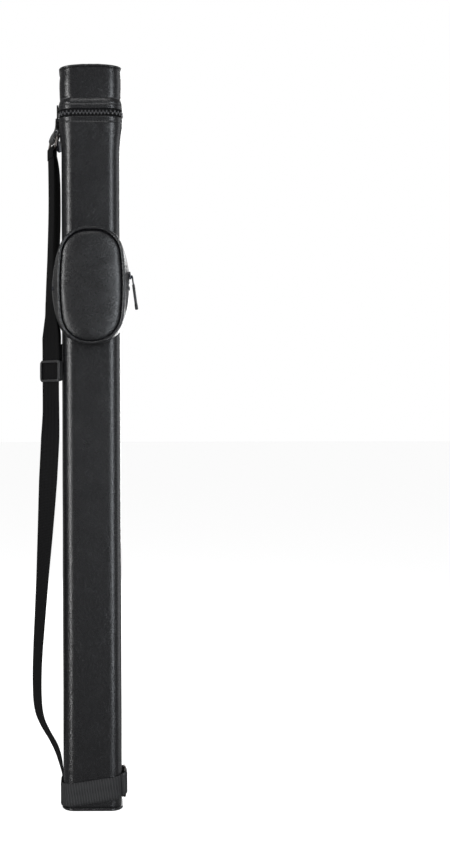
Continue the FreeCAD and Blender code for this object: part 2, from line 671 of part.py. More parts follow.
def band_piece():
    """The band that wraps the tube's back and sides and is sewn to the pouch's rear seam."""
    ends_y = -face_y - moving_gap

    def side_path(grow):
        x, y = side_x + grow, face_y + grow
        radius = corner_radius + grow
        slope = radius * math.sqrt(0.5)
        end_x = rear_outline[0] - 2.0 + grow
        return [
            Vec(end_x, ends_y, 0), Vec(x, band_turn, 0), Vec(x, centre_y, 0),
            Vec(centre_x + slope, centre_y + slope, 0), Vec(centre_x, y, 0),
        ]

    def edges(points, mirrored):
        if mirrored:
            points = [Vec(-p.x, p.y, 0) for p in points]
        return [
            Part.makeLine(points[0], points[1]), Part.makeLine(points[1], points[2]),
            Part.Arc(points[2], points[3], points[4]).toShape(),
        ]

    outer, inner = side_path(liner_gap + band_thickness), side_path(liner_gap)
    rim = edges(outer, False) + edges(outer, True) + edges(inner, False) + edges(inner, True)
    for path in (outer, inner):
        rim.append(Part.makeLine(path[-1], Vec(-path[-1].x, path[-1].y, 0)))
    for side in (-1, 1):
        rim.append(Part.makeLine(Vec(side * outer[0].x, ends_y, 0), Vec(side * inner[0].x, ends_y, 0)))
    band = Part.Face(Part.Wire(Part.__sortEdges__(rim))).extrude(Vec(0, 0, band_high - band_low))
    band.translate(Vec(0, 0, band_low))
    save("pouch_band", band)


# ---- zip sliders and pulls --------------------------------------------------------------------------------------------
def lid_slider_pieces():
    """The lid's slider on the rear strap-side corner, and its hanging loop pull."""
    axis = Vec(-centre_x, centre_y, 0)
    zero = corner_radius + tape_out + coil_height + 0.35
    thick = 2.2
    pivot_r = zero + thick + 1.5
    pivot_z = zip_height - 3.0
    half = slider_length / 2

    def radial(r0, r1, y0, y1, z0, z1):
        return block(-centre_x - r1, -centre_x - r0, centre_y + y0, centre_y + y1, z0, z1)

    slider = radial(zero, zero + thick, -half, half, zip_height - 7.5, zip_height - 0.3)
    corners = [edge for edge in slider.Edges if abs(edge.Vertexes[0].Point.x - edge.Vertexes[-1].Point.x) > 1]
    slider = slider.makeFillet(1.8, corners)
    lug = radial(zero + thick - 0.3, pivot_r + 1.9, -1.2, 1.2, pivot_z - 2.0, pivot_z + 2.0)
    slider = slider.fuse(lug).removeSplitter()
    pin_radius = 0.9
    pin_from = Vec(-centre_x - pivot_r, centre_y - pull_width / 2 + 1, pivot_z)
    pin_to = Vec(-centre_x - pivot_r, centre_y + pull_width / 2 - 1, pivot_z)
    slider = slider.cut(rod(pin_from, pin_to, pin_radius + pin_clearance))

    half_t = pull_thickness / 2 - 0.1
    plate = radial(pivot_r - half_t, pivot_r + half_t, -pull_width / 2, pull_width / 2,
                   pivot_z - pull_length, pivot_z)
    tips = [edge for edge in plate.Edges if abs(edge.Vertexes[0].Point.x - edge.Vertexes[-1].Point.x) > 1
            and edge.Vertexes[0].Point.z < pivot_z - 1]
    plate = plate.makeFillet(pull_width / 2 - 0.2, tips)
    slot = radial(pivot_r - 2, pivot_r + 2, -1.8, 1.8, pivot_z - 18.0, pivot_z + 2)
    pull = plate.cut(slot).fuse(rod(pin_from, pin_to, pin_radius)).removeSplitter()
    for name, shape in (("lid_zip_slider", slider), ("lid_zip_pull", pull)):
        shape.rotate(axis, Vec(0, 0, 1), -slider_angle)
        save(name, shape)
    turned = math.radians(slider_angle)
    pivot = (axis.x - pivot_r * math.cos(turned), axis.y + pivot_r * math.sin(turned), pivot_z)
    print("lid pull pivot", pivot)


def pouch_slider_pieces():
    """The pouch's slider near the end of its zip, and its pull: a small link with a braided cord."""
    half_width, radius = zip_outline[0], zip_outline[3]
    turn_centre = Vec(half_width - radius, 0, pouch_middle)
    rise = math.degrees(math.asin(pouch_slider_rise / radius))
    zero = half_width + pouch_coil_rise + pouch_slider_gap
    thick = 2.1
    pivot_x = zero + thick + 1.3
    line = pouch_zip_line

    slider = block(zero, zero + thick, line - 3.6, line + 3.6, pouch_middle - 4.5, pouch_middle + 4.5)
    corners = [edge for edge in slider.Edges if abs(edge.Vertexes[0].Point.x - edge.Vertexes[-1].Point.x) > 1]
    slider = slider.makeFillet(2.2, corners)
    pivot_z = pouch_middle - 1.5
    lug = block(zero + thick - 0.3, pivot_x + 1.7, line - 1.1, line + 1.1, pivot_z - 1.7, pivot_z + 1.7)
    pin_radius = 0.8
    pin_from, pin_to = Vec(pivot_x, line - 2.9, pivot_z), Vec(pivot_x, line + 2.9, pivot_z)
    slider = slider.fuse(lug).removeSplitter().cut(rod(pin_from, pin_to, pin_radius + pin_clearance))

    link = block(pivot_x - 0.75, pivot_x + 0.75, line - 2.9, line + 2.9, pivot_z - 10.0, pivot_z)
    link = link.cut(block(pivot_x - 2, pivot_x + 2, line - 1.6, line + 1.6, pivot_z - 7.0, pivot_z + 1))
    link = link.fuse(rod(pin_from, pin_to, pin_radius)).removeSplitter()
    cord_top = Vec(pivot_x, line, pivot_z - 9.0)
    cord = rod(cord_top, cord_top - Vec(0, 0, pouch_cord_length), pouch_cord_radius)
    pull = link.fuse(cord).removeSplitter()
    pull.rotate(Vec(pivot_x, line, pivot_z), Vec(0, 1, 0), rise - pouch_pull_lean)
    for name, shape in (("pouch_zip_slider", slider), ("pouch_zip_pull", pull)):
        shape.rotate(turn_centre, Vec(0, 1, 0), -rise)
        save(name, shape)
    pivot = Vec(pivot_x, line, pivot_z) - turn_centre
    turned = math.radians(rise)
    print("pouch pull pivot", turn_centre.x + pivot.x * math.cos(turned) - pivot.z * math.sin(turned), line,
          pouch_middle + pivot.x * math.sin(turned) + pivot.z * math.cos(turned), "turn centre", turn_centre.x)


tube_pieces()
mouth_pieces()
inner_pieces()
lid_pieces()
tab_pieces()
strap_pieces()
cinch_pieces()
pouch_pieces()
band_piece()
lid_slider_pieces()
pouch_slider_pieces()
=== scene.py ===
# %% [markdown]
# # A hard cue case
# A rigid rounded-rectangle tube about 825 mm tall is covered in grained black leatherette. A hinged lid closes
# it with a zip, a zipped pouch sits on a band round its middle, and a webbing strap runs from a ring under the
# lid's hinge to a hook-and-loop band round the foot. The rigid pieces come from the CAD frame. The soft and
# sewn pieces are made here as numpy surfaces, because cloth, stitches and zip teeth are not flat or plain.

# %% The frame
import json
import math
import bpy
import numpy as np
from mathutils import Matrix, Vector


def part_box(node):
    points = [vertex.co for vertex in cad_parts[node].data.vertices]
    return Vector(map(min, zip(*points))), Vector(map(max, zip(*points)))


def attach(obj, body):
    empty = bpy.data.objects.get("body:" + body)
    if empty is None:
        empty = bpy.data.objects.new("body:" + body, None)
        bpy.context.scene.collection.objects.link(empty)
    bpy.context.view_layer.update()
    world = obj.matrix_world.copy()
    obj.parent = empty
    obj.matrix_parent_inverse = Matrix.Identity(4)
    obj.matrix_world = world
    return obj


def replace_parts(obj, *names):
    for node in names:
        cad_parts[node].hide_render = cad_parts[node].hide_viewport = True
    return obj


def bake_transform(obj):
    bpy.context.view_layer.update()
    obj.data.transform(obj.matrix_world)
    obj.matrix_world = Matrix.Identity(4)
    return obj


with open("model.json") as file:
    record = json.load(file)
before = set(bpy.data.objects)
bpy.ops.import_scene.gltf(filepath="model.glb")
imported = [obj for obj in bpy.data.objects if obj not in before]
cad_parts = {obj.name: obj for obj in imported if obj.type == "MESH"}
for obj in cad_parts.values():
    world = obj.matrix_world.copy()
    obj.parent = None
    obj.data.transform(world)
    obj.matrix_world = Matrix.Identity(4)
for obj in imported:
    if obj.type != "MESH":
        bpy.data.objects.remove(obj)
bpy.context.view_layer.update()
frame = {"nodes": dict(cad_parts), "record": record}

# %% [markdown]
# ## The camera
# The case is seen from in front at half its height, from 1.4 m, with a level camera. The lens is shifted, so that
# the case stands left of the picture's middle and its uprights stay parallel. The camera is rolled by a fifth of
# a degree, because a case that stands free is never quite upright.

# %% Camera
MM = 0.001
SENSOR = 36.0
LENS = 52.835294
LENS_SHIFT = 0.158
CAMERA_AT = (-0.9 * MM, -1400 * MM, 426 * MM)
CAMERA_ROLL = math.radians(0.19)
camera_data = bpy.data.cameras.new("camera")
camera_data.sensor_fit = "VERTICAL"
camera_data.sensor_height = SENSOR
camera_data.sensor_width = SENSOR
camera_data.lens = LENS
camera_data.shift_x = LENS_SHIFT
camera = bpy.data.objects.new("camera", camera_data)
camera.location = CAMERA_AT
camera.rotation_euler = (math.radians(90), CAMERA_ROLL, 0)
bpy.context.scene.collection.objects.link(camera)
bpy.context.scene.camera = camera
print("lens", round(camera_data.lens, 1), "mm")

# %% [markdown]
# ## Making a mesh from a grid
# Nearly every piece is a grid of points worked out at once: rows along a path and columns round a section.
# One helper turns such a grid into a mesh, closes it on itself where it should be closed, and stores a UV map
# in millimetres so that a weave or a row of ribs keeps its real size along a strap.


# %% Grid to mesh
def grid_faces(rows, cols, loop_rows, loop_cols):
    """Quads of a grid of points numbered row by row; a loop joins the last row or column to the first."""
    r = np.arange(rows if loop_rows else rows - 1)
    c = np.arange(cols if loop_cols else cols - 1)
    r, c = np.meshgrid(r, c, indexing="ij")
    r2, c2 = (r + 1) % rows, (c + 1) % cols
    return np.stack([r * cols + c, r * cols + c2, r2 * cols + c2, r2 * cols + c], -1).reshape(-1, 4)


def signed_volume(points, faces):
    """Six times the volume inside quads: the sum of a . (b x c) over their triangles, positive if they face out."""
    a, b, c, d = (points[faces[:, k]] for k in range(4))
    return np.sum(a * np.cross(b, c)) + np.sum(a * np.cross(c, d))


def to_object(name, points, faces, uv, material, body):
    """A finished object from points in millimetres: quads, one UV per face corner, a material, a body, a slot."""
    mesh = bpy.data.meshes.new(name)
    mesh.vertices.add(len(points))
    mesh.vertices.foreach_set("co", (points * MM).astype(np.float32).ravel())
    mesh.loops.add(faces.size)
    mesh.loops.foreach_set("vertex_index", faces.astype(np.int32).ravel())
    mesh.polygons.add(len(faces))
    mesh.polygons.foreach_set("loop_start", np.arange(0, faces.size, 4, dtype=np.int32))
    mesh.update(calc_edges=True)
    mesh.validate()
    mesh.polygons.foreach_set("use_smooth", np.ones(len(mesh.polygons), dtype=bool))
    if uv is not None and len(mesh.loops) == faces.size:
        layer = mesh.uv_layers.new(name="cloth")
        layer.data.foreach_set("uv", uv.astype(np.float32).ravel())
    mesh.materials.append(material)
    piece = bpy.data.objects.new(name, mesh)
    bpy.context.scene.collection.objects.link(piece)
    if body:
        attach(piece, body)
    return piece


def surface(name, points, material, body, loop_rows=False, loop_cols=True, caps=True, size=(1, 1)):
    """A piece from a (rows, cols, 3) grid in millimetres.

    Open ends of a tube get a cap: a fan of quads folded from each end row to its middle point. The UV runs from
    0 to size[0] along the rows and from 0 to size[1] round the columns.
    """
    points = np.asarray(points, float)
    rows, cols = points.shape[:2]
    faces = grid_faces(rows, cols, loop_rows, loop_cols)
    flat = points.reshape(-1, 3)
    along = np.linspace(0, size[0], rows + loop_rows)
    around = np.linspace(0, size[1], cols + loop_cols)
    corner = grid_faces(rows + loop_rows, cols + loop_cols, False, False)
    uv_flat = np.stack(np.meshgrid(along, around, indexing="ij"), -1).reshape(-1, 2)
    uv = uv_flat[corner]
    if caps and loop_cols and not loop_rows:
        assert cols % 2 == 0, name
        middles = np.array([points[0].mean(0), points[-1].mean(0)])
        flat = np.vstack([flat, middles])
        steps = np.arange(0, cols, 2)
        start, end = np.full(len(steps), rows * cols), np.full(len(steps), rows * cols + 1)
        last = (rows - 1) * cols
        front = np.stack([start, (steps + 2) % cols, steps + 1, steps], -1)
        back = np.stack([end, last + steps, last + steps + 1, last + (steps + 2) % cols], -1)
        faces = np.vstack([faces, front, back])
        uv = np.vstack([uv, np.zeros((len(front) + len(back), 4, 2))])
    if loop_cols and signed_volume(flat, faces) < 0:
        faces, uv = faces[:, ::-1], uv[:, ::-1]
    return to_object(name, flat, faces, uv, material, body)


def copies(name, shape, faces, places, material, body):
    """Many copies of one small closed shape: places is (count, 4, 3), three axes and an origin for each copy."""
    points = np.einsum("vk,nkc->nvc", shape, places[:, :3]) + places[:, None, 3]
    if signed_volume(shape, faces) < 0:
        faces = faces[:, ::-1]
    handed = np.linalg.det(places[:, :3]) > 0
    all_faces = np.where(handed[:, None, None], faces[None], faces[None, :, ::-1])
    all_faces = all_faces + (np.arange(len(places)) * len(shape))[:, None, None]
    return to_object(name, points.reshape(-1, 3), all_faces.reshape(-1, 4), None, material, body)


def unit(v):
    """Vectors along the last axis, scaled to length one."""
    v = np.asarray(v, float)
    return v / np.linalg.norm(v, axis=-1, keepdims=True)


def smooth_step(x):
    """3x^2 - 2x^3 between 0 and 1, flat outside."""
    x = np.clip(x, 0, 1)
    return x * x * (3 - 2 * x)


def full_turn(count):
    """Evenly spaced angles round a circle, in radians, without the last one that repeats the first."""
    return np.linspace(0, 2 * math.pi, count + 1)[:-1]


def signed_power(value, power):
    """|value|^power with the sign kept: on a cosine and a sine, it squares a circle off."""
    return np.sign(value) * np.abs(value) ** power


def distance_along(path):
    """The distance of each point from the first one, along the path."""
    return np.concatenate([[0], np.cumsum(np.linalg.norm(np.diff(path, axis=0), axis=1))])


def path_length(path):
    """The sum of the path's steps."""
    return np.linalg.norm(np.diff(path, axis=0), axis=1).sum()


def interpolate(at, known, columns):
    """Each column of values read at new distances, given the distances at which it is known."""
    return np.stack([np.interp(at, known, column) for column in columns], -1)


def sized(frames, sizes):
    """Frames with their three axes multiplied by these sizes, so that a unit shape gets its real ones."""
    frames = frames.copy()
    frames[:, :3] *= np.array(sizes)[None, :, None]
    return frames


def ripple(a, b, seed, scale):
    """A soft unevenness between about -1 and 1: seven sine waves of a and b in directions drawn from the seed."""
    draw = np.random.default_rng(seed)
    total = 0
    for _ in range(7):
        angle, phase = draw.uniform(0, 2 * math.pi), draw.uniform(0, 2 * math.pi)
        stretch = draw.uniform(0.5, 1.8)
        total = total + np.sin((a * math.cos(angle) + b * math.sin(angle)) * stretch / scale + phase)
    return total / 4


print("helpers ready")

# %% [markdown]
# ## Shader sums in Python
# A material is easier to read as sums than as a web of nodes. One class wraps a socket: arithmetic on it adds
# Math nodes, and its node method adds any other node.


# %% Signals
class Signal:
    """One output socket. Arithmetic gives a new Signal through a Math node; node() adds any other node."""

    def __init__(self, tree, socket=None):
        self.tree, self.socket = tree, socket

    def node(self, kind, settings=None, sockets=None, output=0):
        """Adds a node: its settings first (a ramp's stops as a list of (place, colour)), then its sockets."""
        made = self.tree.nodes.new(kind)
        for key, value in (settings or {}).items():
            if key == "stops":
                ramp = made.color_ramp
                while len(ramp.elements) < len(value):
                    ramp.elements.new(1.0)
                for element, (place, colour) in zip(ramp.elements, value):
                    element.position, element.color = place, (*colour, 1)
            else:
                setattr(made, key, value)
        for key, value in (sockets or {}).items():
            if isinstance(value, Signal):
                self.tree.links.new(value.socket, made.inputs[key])
            else:
                made.inputs[key].default_value = value
        return Signal(self.tree, made.outputs[output] if made.outputs else None)

    def math(self, operation, *values):
        return self.node("ShaderNodeMath", {"operation": operation}, dict(enumerate(values)))

    def __add__(self, other):
        return self.math("ADD", self, other)

    def __sub__(self, other):
        return self.math("SUBTRACT", self, other)

    def __rsub__(self, other):
        return self.math("SUBTRACT", other, self)

    def __mul__(self, other):
        return self.math("MULTIPLY", self, other)

    def __truediv__(self, other):
        return self.math("DIVIDE", self, other)

    def __pow__(self, other):
        return self.math("POWER", self, other)

    __radd__, __rmul__ = __add__, __mul__

    def noise(self, scale, detail=3.0, rough=0.5):
        return self.node("ShaderNodeTexNoise", {}, {"Vector": self, "Scale": scale, "Detail": detail,
                                                    "Roughness": rough})

    def between(self, low, high):
        """0 below low, 1 above high, smooth between."""
        return self.node("ShaderNodeMapRange", {"interpolation_type": "SMOOTHSTEP"},
                         {"Value": self, "From Min": low, "From Max": high})

    def blend_colours(self, first, second):
        """The first colour where this signal is 0 and the second where it is 1."""
        mixed = self.node("ShaderNodeMix", {"data_type": "RGBA"}, {0: self}, output=2)
        inputs = mixed.socket.node.inputs
        for place, value in ((6, first), (7, second)):
            if isinstance(value, Signal):
                self.tree.links.new(value.socket, inputs[place])
            else:
                inputs[place].default_value = (*value, 1)
        return mixed

    def bump(self, depth, strength=1.0):
        """A normal from this height; depth is the height of 1 in metres."""
        return self.node("ShaderNodeBump", {}, {"Height": self, "Distance": depth, "Strength": strength})


def start_material(name):
    """An empty material and its two coordinates: the object's own place in metres, and the cloth's UV."""
    material = bpy.data.materials.new(name)
    material.use_nodes = True
    material.node_tree.nodes.clear()
    base = Signal(material.node_tree)
    place = base.node("ShaderNodeTexCoord", output=3)
    uv = base.node("ShaderNodeUVMap", {"uv_map": "cloth"})
    return material, place, uv


def finish_material(material, signal, sockets):
    """Adds the Principled shader with these sockets and the material's output."""
    shader = signal.node("ShaderNodeBsdfPrincipled", {}, sockets)
    signal.node("ShaderNodeOutputMaterial", {}, {"Surface": shader})
    return material


# %% [markdown]
# ## Leatherette
# The cover is vinyl pressed with a fine pebble grain under a thin satin lacquer. Voronoi cells make the pebbles
# and their creases, and the creases are given a darker colour as painted shade. Noise makes the lacquer uneven,
# and larger noise lightens the colour where it has been rubbed. The grain is real bump at about 1 mm, so the same
# finish holds close up and from far away.


# %% Leatherette
def make_leatherette(name, grain=900.0, shine=0.23, depth=0.00007, crease=0.0):
    material, place, uv = start_material(name)
    warped = place.node("ShaderNodeVectorMath", {"operation": "MULTIPLY_ADD"},
                        {0: place.node("ShaderNodeTexNoise", {}, {"Vector": place, "Scale": grain * 0.35},
                                       output=1), 1: (0.0006,) * 3, 2: place})
    cells = warped.node("ShaderNodeTexVoronoi", {"feature": "DISTANCE_TO_EDGE"},
                        {"Vector": warped, "Scale": grain})
    pebbles = warped.node("ShaderNodeTexVoronoi", {"feature": "SMOOTH_F1"},
                          {"Vector": warped, "Scale": grain * 0.55, "Smoothness": 0.6})
    broad = place.noise(38.0, 4.0, 0.6)
    patches = place.noise(420.0, 3.0, 0.6)
    height = cells.between(0.0, 0.22) * 0.55 + (1 - pebbles) * 0.8 + patches * 0.7
    if crease:
        wrinkle = place.node("ShaderNodeTexNoise", {"noise_type": "RIDGED_MULTIFRACTAL"},
                             {"Vector": place, "Scale": 46.0, "Detail": 2.0})
        height = height + wrinkle.between(0.9, 1.5) * crease
    worn = broad.between(0.56, 0.78)
    colour = worn.blend_colours((0.0035, 0.0035, 0.0041), (0.0062, 0.0062, 0.0068))
    # Painted shade: the colour is darker in the grain's creases, where the relief is low; the same mask raises the
    # roughness there.
    creased = cells.between(0.0, 0.12)
    colour = creased.blend_colours((0.002, 0.002, 0.0024), colour)
    rough = shine + (patches - 0.5) * 0.22 + (broad - 0.5) * 0.12 + (1 - creased) * 0.12
    return finish_material(material, place, {
        "Base Color": colour, "Roughness": rough, "IOR": 1.45,
        "Normal": height.bump(depth),
    })


leatherette = make_leatherette("leatherette")
soft_leatherette = make_leatherette("leatherette_soft", shine=0.28, crease=0.7)
print("leatherette ready")

# %% [markdown]
# ## Webbing, tape and thread
# Polyester webbing has fine ribs across its width and a tighter woven edge. The ribs follow the strap, so they
# are drawn on the strap's own UV map in millimetres: the first number along it and the second across it. Its colour
# is painted lighter on the rib crests and darker in the troughs, as painted highlight and shade, under a random
# fuzz of tone.


# %% Webbing
def make_webbing(name, rib=1.15, width=25.0, shade=0.0026, lines=11.0, relief=0.00022, shine=1.16):
    """Webbing with a rib every rib mm along it, and columns of yarn across it; relief is its depth in metres."""
    material, place, uv = start_material(name)
    parts = uv.node("ShaderNodeSeparateXYZ", {}, {0: uv})
    along = Signal(uv.tree, parts.socket.node.outputs[0])
    across = Signal(uv.tree, parts.socket.node.outputs[1])
    rib_wave = (along * (2 * math.pi / rib)).math("SINE", along * (2 * math.pi / rib))
    columns = across * (2 * math.pi * lines / (2 * width))
    column_wave = columns.math("SINE", columns)
    fuzz = place.noise(2600.0, 2.0, 0.6)
    height = rib_wave * 0.34 + (rib_wave * column_wave) * 0.26 + fuzz * 0.35
    # Painted highlight and shade: the colour is lighter on the rib crests and darker in the troughs; the fuzz adds
    # random tone.
    cover = (rib_wave * 0.5 + 0.5) * 0.7 + fuzz * 0.5
    dark = tuple(shade * k for k in (0.55, 0.55, 0.6))
    light = tuple(shade * k for k in (1.9, 1.9, 2.0))
    colour = cover.between(0.1, 1.1).blend_colours(dark, light)
    return finish_material(material, place, {
        "Base Color": colour, "Roughness": 0.66 + fuzz * 0.2, "IOR": shine, "Normal": height.bump(relief),
    })


webbing = make_webbing("webbing")
band_webbing = make_webbing("band_webbing", rib=2.7, shade=0.009, lines=5.0, relief=0.0006, shine=1.4)
zip_tape = make_webbing("zip_tape", rib=0.7, width=8.0, shade=0.003)


def make_plain(name, colour, rough, bump_scale, bump_depth, metallic=0.0, spread=0.15, sheen=0.0):
    """A finish with a fine surface noise: plastic, painted metal, lining, foam or board."""
    material, place, uv = start_material(name)
    fine = place.noise(bump_scale, 4.0, 0.6)
    wide = place.noise(90.0, 3.0, 0.55)
    darker = tuple(channel * (1 - spread * 1.6) for channel in colour)
    lighter = tuple(min(1.0, channel * (1 + spread * 1.6)) for channel in colour)
    shade = (fine * 0.5 + wide * 0.5).between(0.3, 0.7).blend_colours(darker, lighter)
    return finish_material(material, place, {
        "Base Color": shade, "Roughness": rough + (wide - 0.5) * spread + (fine - 0.5) * spread,
        "Metallic": metallic, "Normal": fine.bump(bump_depth), "Sheen Weight": sheen, "Sheen Roughness": 0.5,
    })


thread = make_plain("thread", (0.011, 0.011, 0.012), 0.6, 4000.0, 0.00006, sheen=0.1)
zip_teeth = make_plain("zip_teeth", (0.03, 0.03, 0.032), 0.3, 3000.0, 0.00002)
ring_metal = make_plain("ring_metal", (0.085, 0.077, 0.072), 0.36, 1800.0, 0.00003, metallic=1.0)
slider_paint = make_plain("slider_paint", (0.02, 0.022, 0.03), 0.22, 2200.0, 0.00003, metallic=0.35)
buckle_plastic = make_plain("buckle_plastic", (0.004, 0.004, 0.0045), 0.5, 2600.0, 0.00004)
lining_cloth = make_plain("lining_cloth", (0.02, 0.02, 0.023), 0.85, 3200.0, 0.0002, sheen=0.4)
foam = make_plain("foam", (0.05, 0.05, 0.052), 0.9, 1500.0, 0.0004)
core_plastic = make_plain("core_plastic", (0.06, 0.06, 0.062), 0.5, 900.0, 0.00008)
pressed_board = make_plain("pressed_board", (0.28, 0.22, 0.15), 0.85, 1200.0, 0.0002)
loop_pile = make_plain("loop_pile", (0.014, 0.014, 0.015), 0.8, 2300.0, 0.0009, sheen=0.5)
hook_pile = make_plain("hook_pile", (0.012, 0.012, 0.013), 0.55, 3000.0, 0.0005)
print("cloth, metal and plastic ready")

# %% [markdown]
# ## The strap, in two free cords
# Two plies of 25 mm webbing. The long ply leaves the foot band, bows out and twists half way towards the
# front, passes through the buckle and rises to the ring. The short ply comes back from the ring into the
# buckle. Each ply is a ribbon carried along a smooth NURBS line, and its width turns as the route says.

# %% Strap routes
LONG_ROUTE = np.array([
    (-33.3, 0, 31.5, 2), (-35.3, 0, 47, 13), (-41.6, -1, 68, 24), (-52.6, -2, 86, 26), (-60.2, -4, 104, 26),
    (-61.8, -6, 132, 26), (-61.0, -8, 168, 27), (-58.0, -10, 212, 31), (-54.8, -11, 260, 36),
    (-51.4, -12, 312, 46), (-48.6, -12, 364, 56), (-46.0, -12, 412, 57), (-45.0, -12.2, 438, 50),
    (-45.2, -12, 456, 49), (-45.2, -12, 490, 49), (-45.2, -12, 524, 49), (-46.2, -4, 551, 27),
    (-47.0, -2, 570, 21), (-45.7, -0.6, 612, 17), (-44.2, -0.8, 665, 16), (-44.2, -1.2, 705, 16),
    (-44.6, -1.2, 724, 16),
])
SHORT_ROUTE = np.array([
    (-42.8, -9.25, 501, 49), (-42.8, -9.25, 512, 49), (-42.8, -9.25, 524, 49), (-43.2, -1.6, 551, 27),
    (-42.2, 0.2, 568, 21), (-40.2, 1.2, 600, 18), (-37.6, 1.4, 640, 19), (-37.5, 1.0, 694, 19),
    (-38.9, 0.0, 714, 18), (-40.6, 0.0, 724, 16),
])
STRAP_WIDTH = 25.0
STRAP_THICKNESS = 1.3


def spline_points(name, route):
    """Points along the NURBS curve whose control points are the route's places, in millimetres."""
    data = bpy.data.curves.new(name, "CURVE")
    data.dimensions = "3D"
    data.resolution_u = 10
    spline = data.splines.new("NURBS")
    spline.points.add(len(route) - 1)
    spline.points.foreach_set("co", np.hstack([route[:, :3] * MM, np.ones((len(route), 1))]).ravel())
    spline.order_u = 3
    spline.use_endpoint_u = True
    holder = bpy.data.objects.new(name, data)
    mesh = bpy.data.meshes.new_from_object(holder)
    found = np.empty(len(mesh.vertices) * 3, np.float32)
    mesh.vertices.foreach_get("co", found)
    bpy.data.objects.remove(holder)
    bpy.data.meshes.remove(mesh)
    return found.reshape(-1, 3).astype(float) / MM


def webbing_section(width, thickness, steps=12):
    """The section of webbing as (across, out) pairs: flat faces, rounded woven edges a little thicker."""
    x = np.linspace(-1, 1, steps)
    edge = 1 + 0.12 * np.exp(-((np.abs(x) - 0.86) / 0.08) ** 2)
    half = thickness / 2 * edge * np.sqrt(np.clip(1 - np.abs(x) ** 40, 0, 1)) + 0.04
    top = np.stack([x * width / 2, half], -1)
    return np.vstack([top, np.stack([x[::-1] * width / 2, -half[::-1]], -1)])


def ribbon(name, path, across, material, body, width=STRAP_WIDTH, thickness=STRAP_THICKNESS):
    """A strip of webbing: its section carried along a path, with its width along the across directions."""
    path, across = np.asarray(path, float), unit(across)
    along = unit(np.gradient(path, axis=0))
    out = unit(np.cross(along, across))
    across = np.cross(out, along)
    section = webbing_section(width, thickness)
    points = path[:, None] + across[:, None] * section[None, :, :1] + out[:, None] * section[None, :, 1:]
    length = path_length(path)
    return surface(name, points, material, body, size=(length, 2 * width)), length


def route_across(route, heights):
    """The webbing's width direction at each height: the Y axis turned about the upright by the route's angle."""
    turn = np.radians(np.interp(heights, route[:, 2], route[:, 3]))
    return np.stack([-np.sin(turn), np.cos(turn), np.zeros_like(turn)], -1)


for name, route in (("strap_long", LONG_ROUTE), ("strap_short", SHORT_ROUTE)):
    line = spline_points(name, route)
    bow = ripple(line[:, 2], 0 * line[:, 2], 5, 60.0) * 0.35
    free = smooth_step((line[:, 2] - 60) / 60) * smooth_step((440 - line[:, 2]) / 60)
    line = line + route_across(route, line[:, 2])[:, [1, 0, 2]] * [1, -1, 0] * (bow * free)[:, None]
    piece, length = ribbon(name, line, route_across(route, line[:, 2]), webbing, None)
    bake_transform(piece)
    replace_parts(piece, name + "_ply")
    tuple(line[0] * MM)
    [tuple(p) for p in line * MM]
    print(name, "length", round(float(length), 1), "mm")

# %% [markdown]
# ## The tube's section
# The tube, its cover, the lid and the zip all follow one rounded rectangle, grown by different amounts. The
# outline is four straight sides joined by quarter circles; growing it moves each point along its own normal.

# %% Section of the tube
SIDE_X, FACE_Y, CORNER = 32.5, 24.0, 13.0
CENTRE_X, CENTRE_Y = SIDE_X - CORNER, FACE_Y - CORNER
ZIP_Z = 770.5
FLARE = 3.2
LID_GROW = 1.7
TOP_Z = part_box("lid_top_panel")[1][2] / MM


def section(step_flat=2.2, step_arc=14):
    """(points, normals, lengths) round the rounded rectangle, anticlockwise from the middle of the +X side."""
    places, normals = [], []
    corners = [(CENTRE_X, CENTRE_Y, 0), (-CENTRE_X, CENTRE_Y, 90), (-CENTRE_X, -CENTRE_Y, 180),
               (CENTRE_X, -CENTRE_Y, 270)]
    flats = [2 * CENTRE_X, 2 * CENTRE_Y] * 2
    for (cx, cy, first), flat in zip(corners, flats):
        angle = np.radians(first + np.linspace(0, 90, step_arc + 1))
        normal = np.stack([np.cos(angle), np.sin(angle)], -1)
        places.append(np.array([cx, cy]) + normal * CORNER)
        normals.append(normal)
        count = int(flat / step_flat)
        t = np.linspace(0, 1, count + 1)[1:-1, None]
        way = np.array([-normal[-1][1], normal[-1][0]])
        places.append(places[-1][-1] + way * flat * t)
        normals.append(np.repeat(normal[-1:], count - 1, 0))
    places, normals = np.vstack(places), np.vstack(normals)
    steps = np.linalg.norm(np.roll(places, -1, 0) - places, axis=1)
    return places, normals, np.concatenate([[0], np.cumsum(steps)[:-1]])


OUTLINE, OUTWARD, ROUND = section()
OUTLINE_LENGTH = 2 * math.pi * CORNER + 4 * (CENTRE_X + CENTRE_Y)


DROOP_FROM, DROOP_OVER = 800.0, 18.0


def sweep_round(name, profile, material, body, wobble=None, droop=None):
    """A closed profile of (grow, z) pairs carried round the section.

    wobble(s, z) moves its outer points outwards, and droop(x) lowers its top.
    """
    profile = np.asarray(profile, float)
    grow = np.repeat(profile[:, :1], len(OUTLINE), 1)
    height = np.repeat(profile[:, 1:2], len(OUTLINE), 1)
    if wobble is not None:
        grow = grow + wobble(ROUND[None], height) * (profile[:, 2:3] if profile.shape[1] > 2 else 1)
    xy = OUTLINE[None] + OUTWARD[None] * grow[..., None]
    if droop is not None:
        height = height + droop(xy[..., 0]) * smooth_step((height - DROOP_FROM) / DROOP_OVER)
    points = np.concatenate([xy, height[..., None]], -1)
    return surface(name, points, material, body, loop_rows=True,
                   size=(path_length(profile[:, :2]), OUTLINE_LENGTH))


print("section of", len(OUTLINE), "points, round", round(OUTLINE_LENGTH, 1), "mm")

# %% [markdown]
# ## The cover of the tube
# The leatherette is glued round the tube and stretched over a padded ring at the mouth, where it flares. A real
# cover is never quite flat, so its outer face wanders by a tenth of a millimetre, which is enough to make a
# long highlight waver. It is pinched where the stitches pull it down below the zip.

# %% Cover of the tube
BODY_STITCH_Z, LID_STITCH_Z = 760.6, 780.2
COVER_TOP, LID_LOW = ZIP_Z - 4.3, ZIP_Z + 4.3


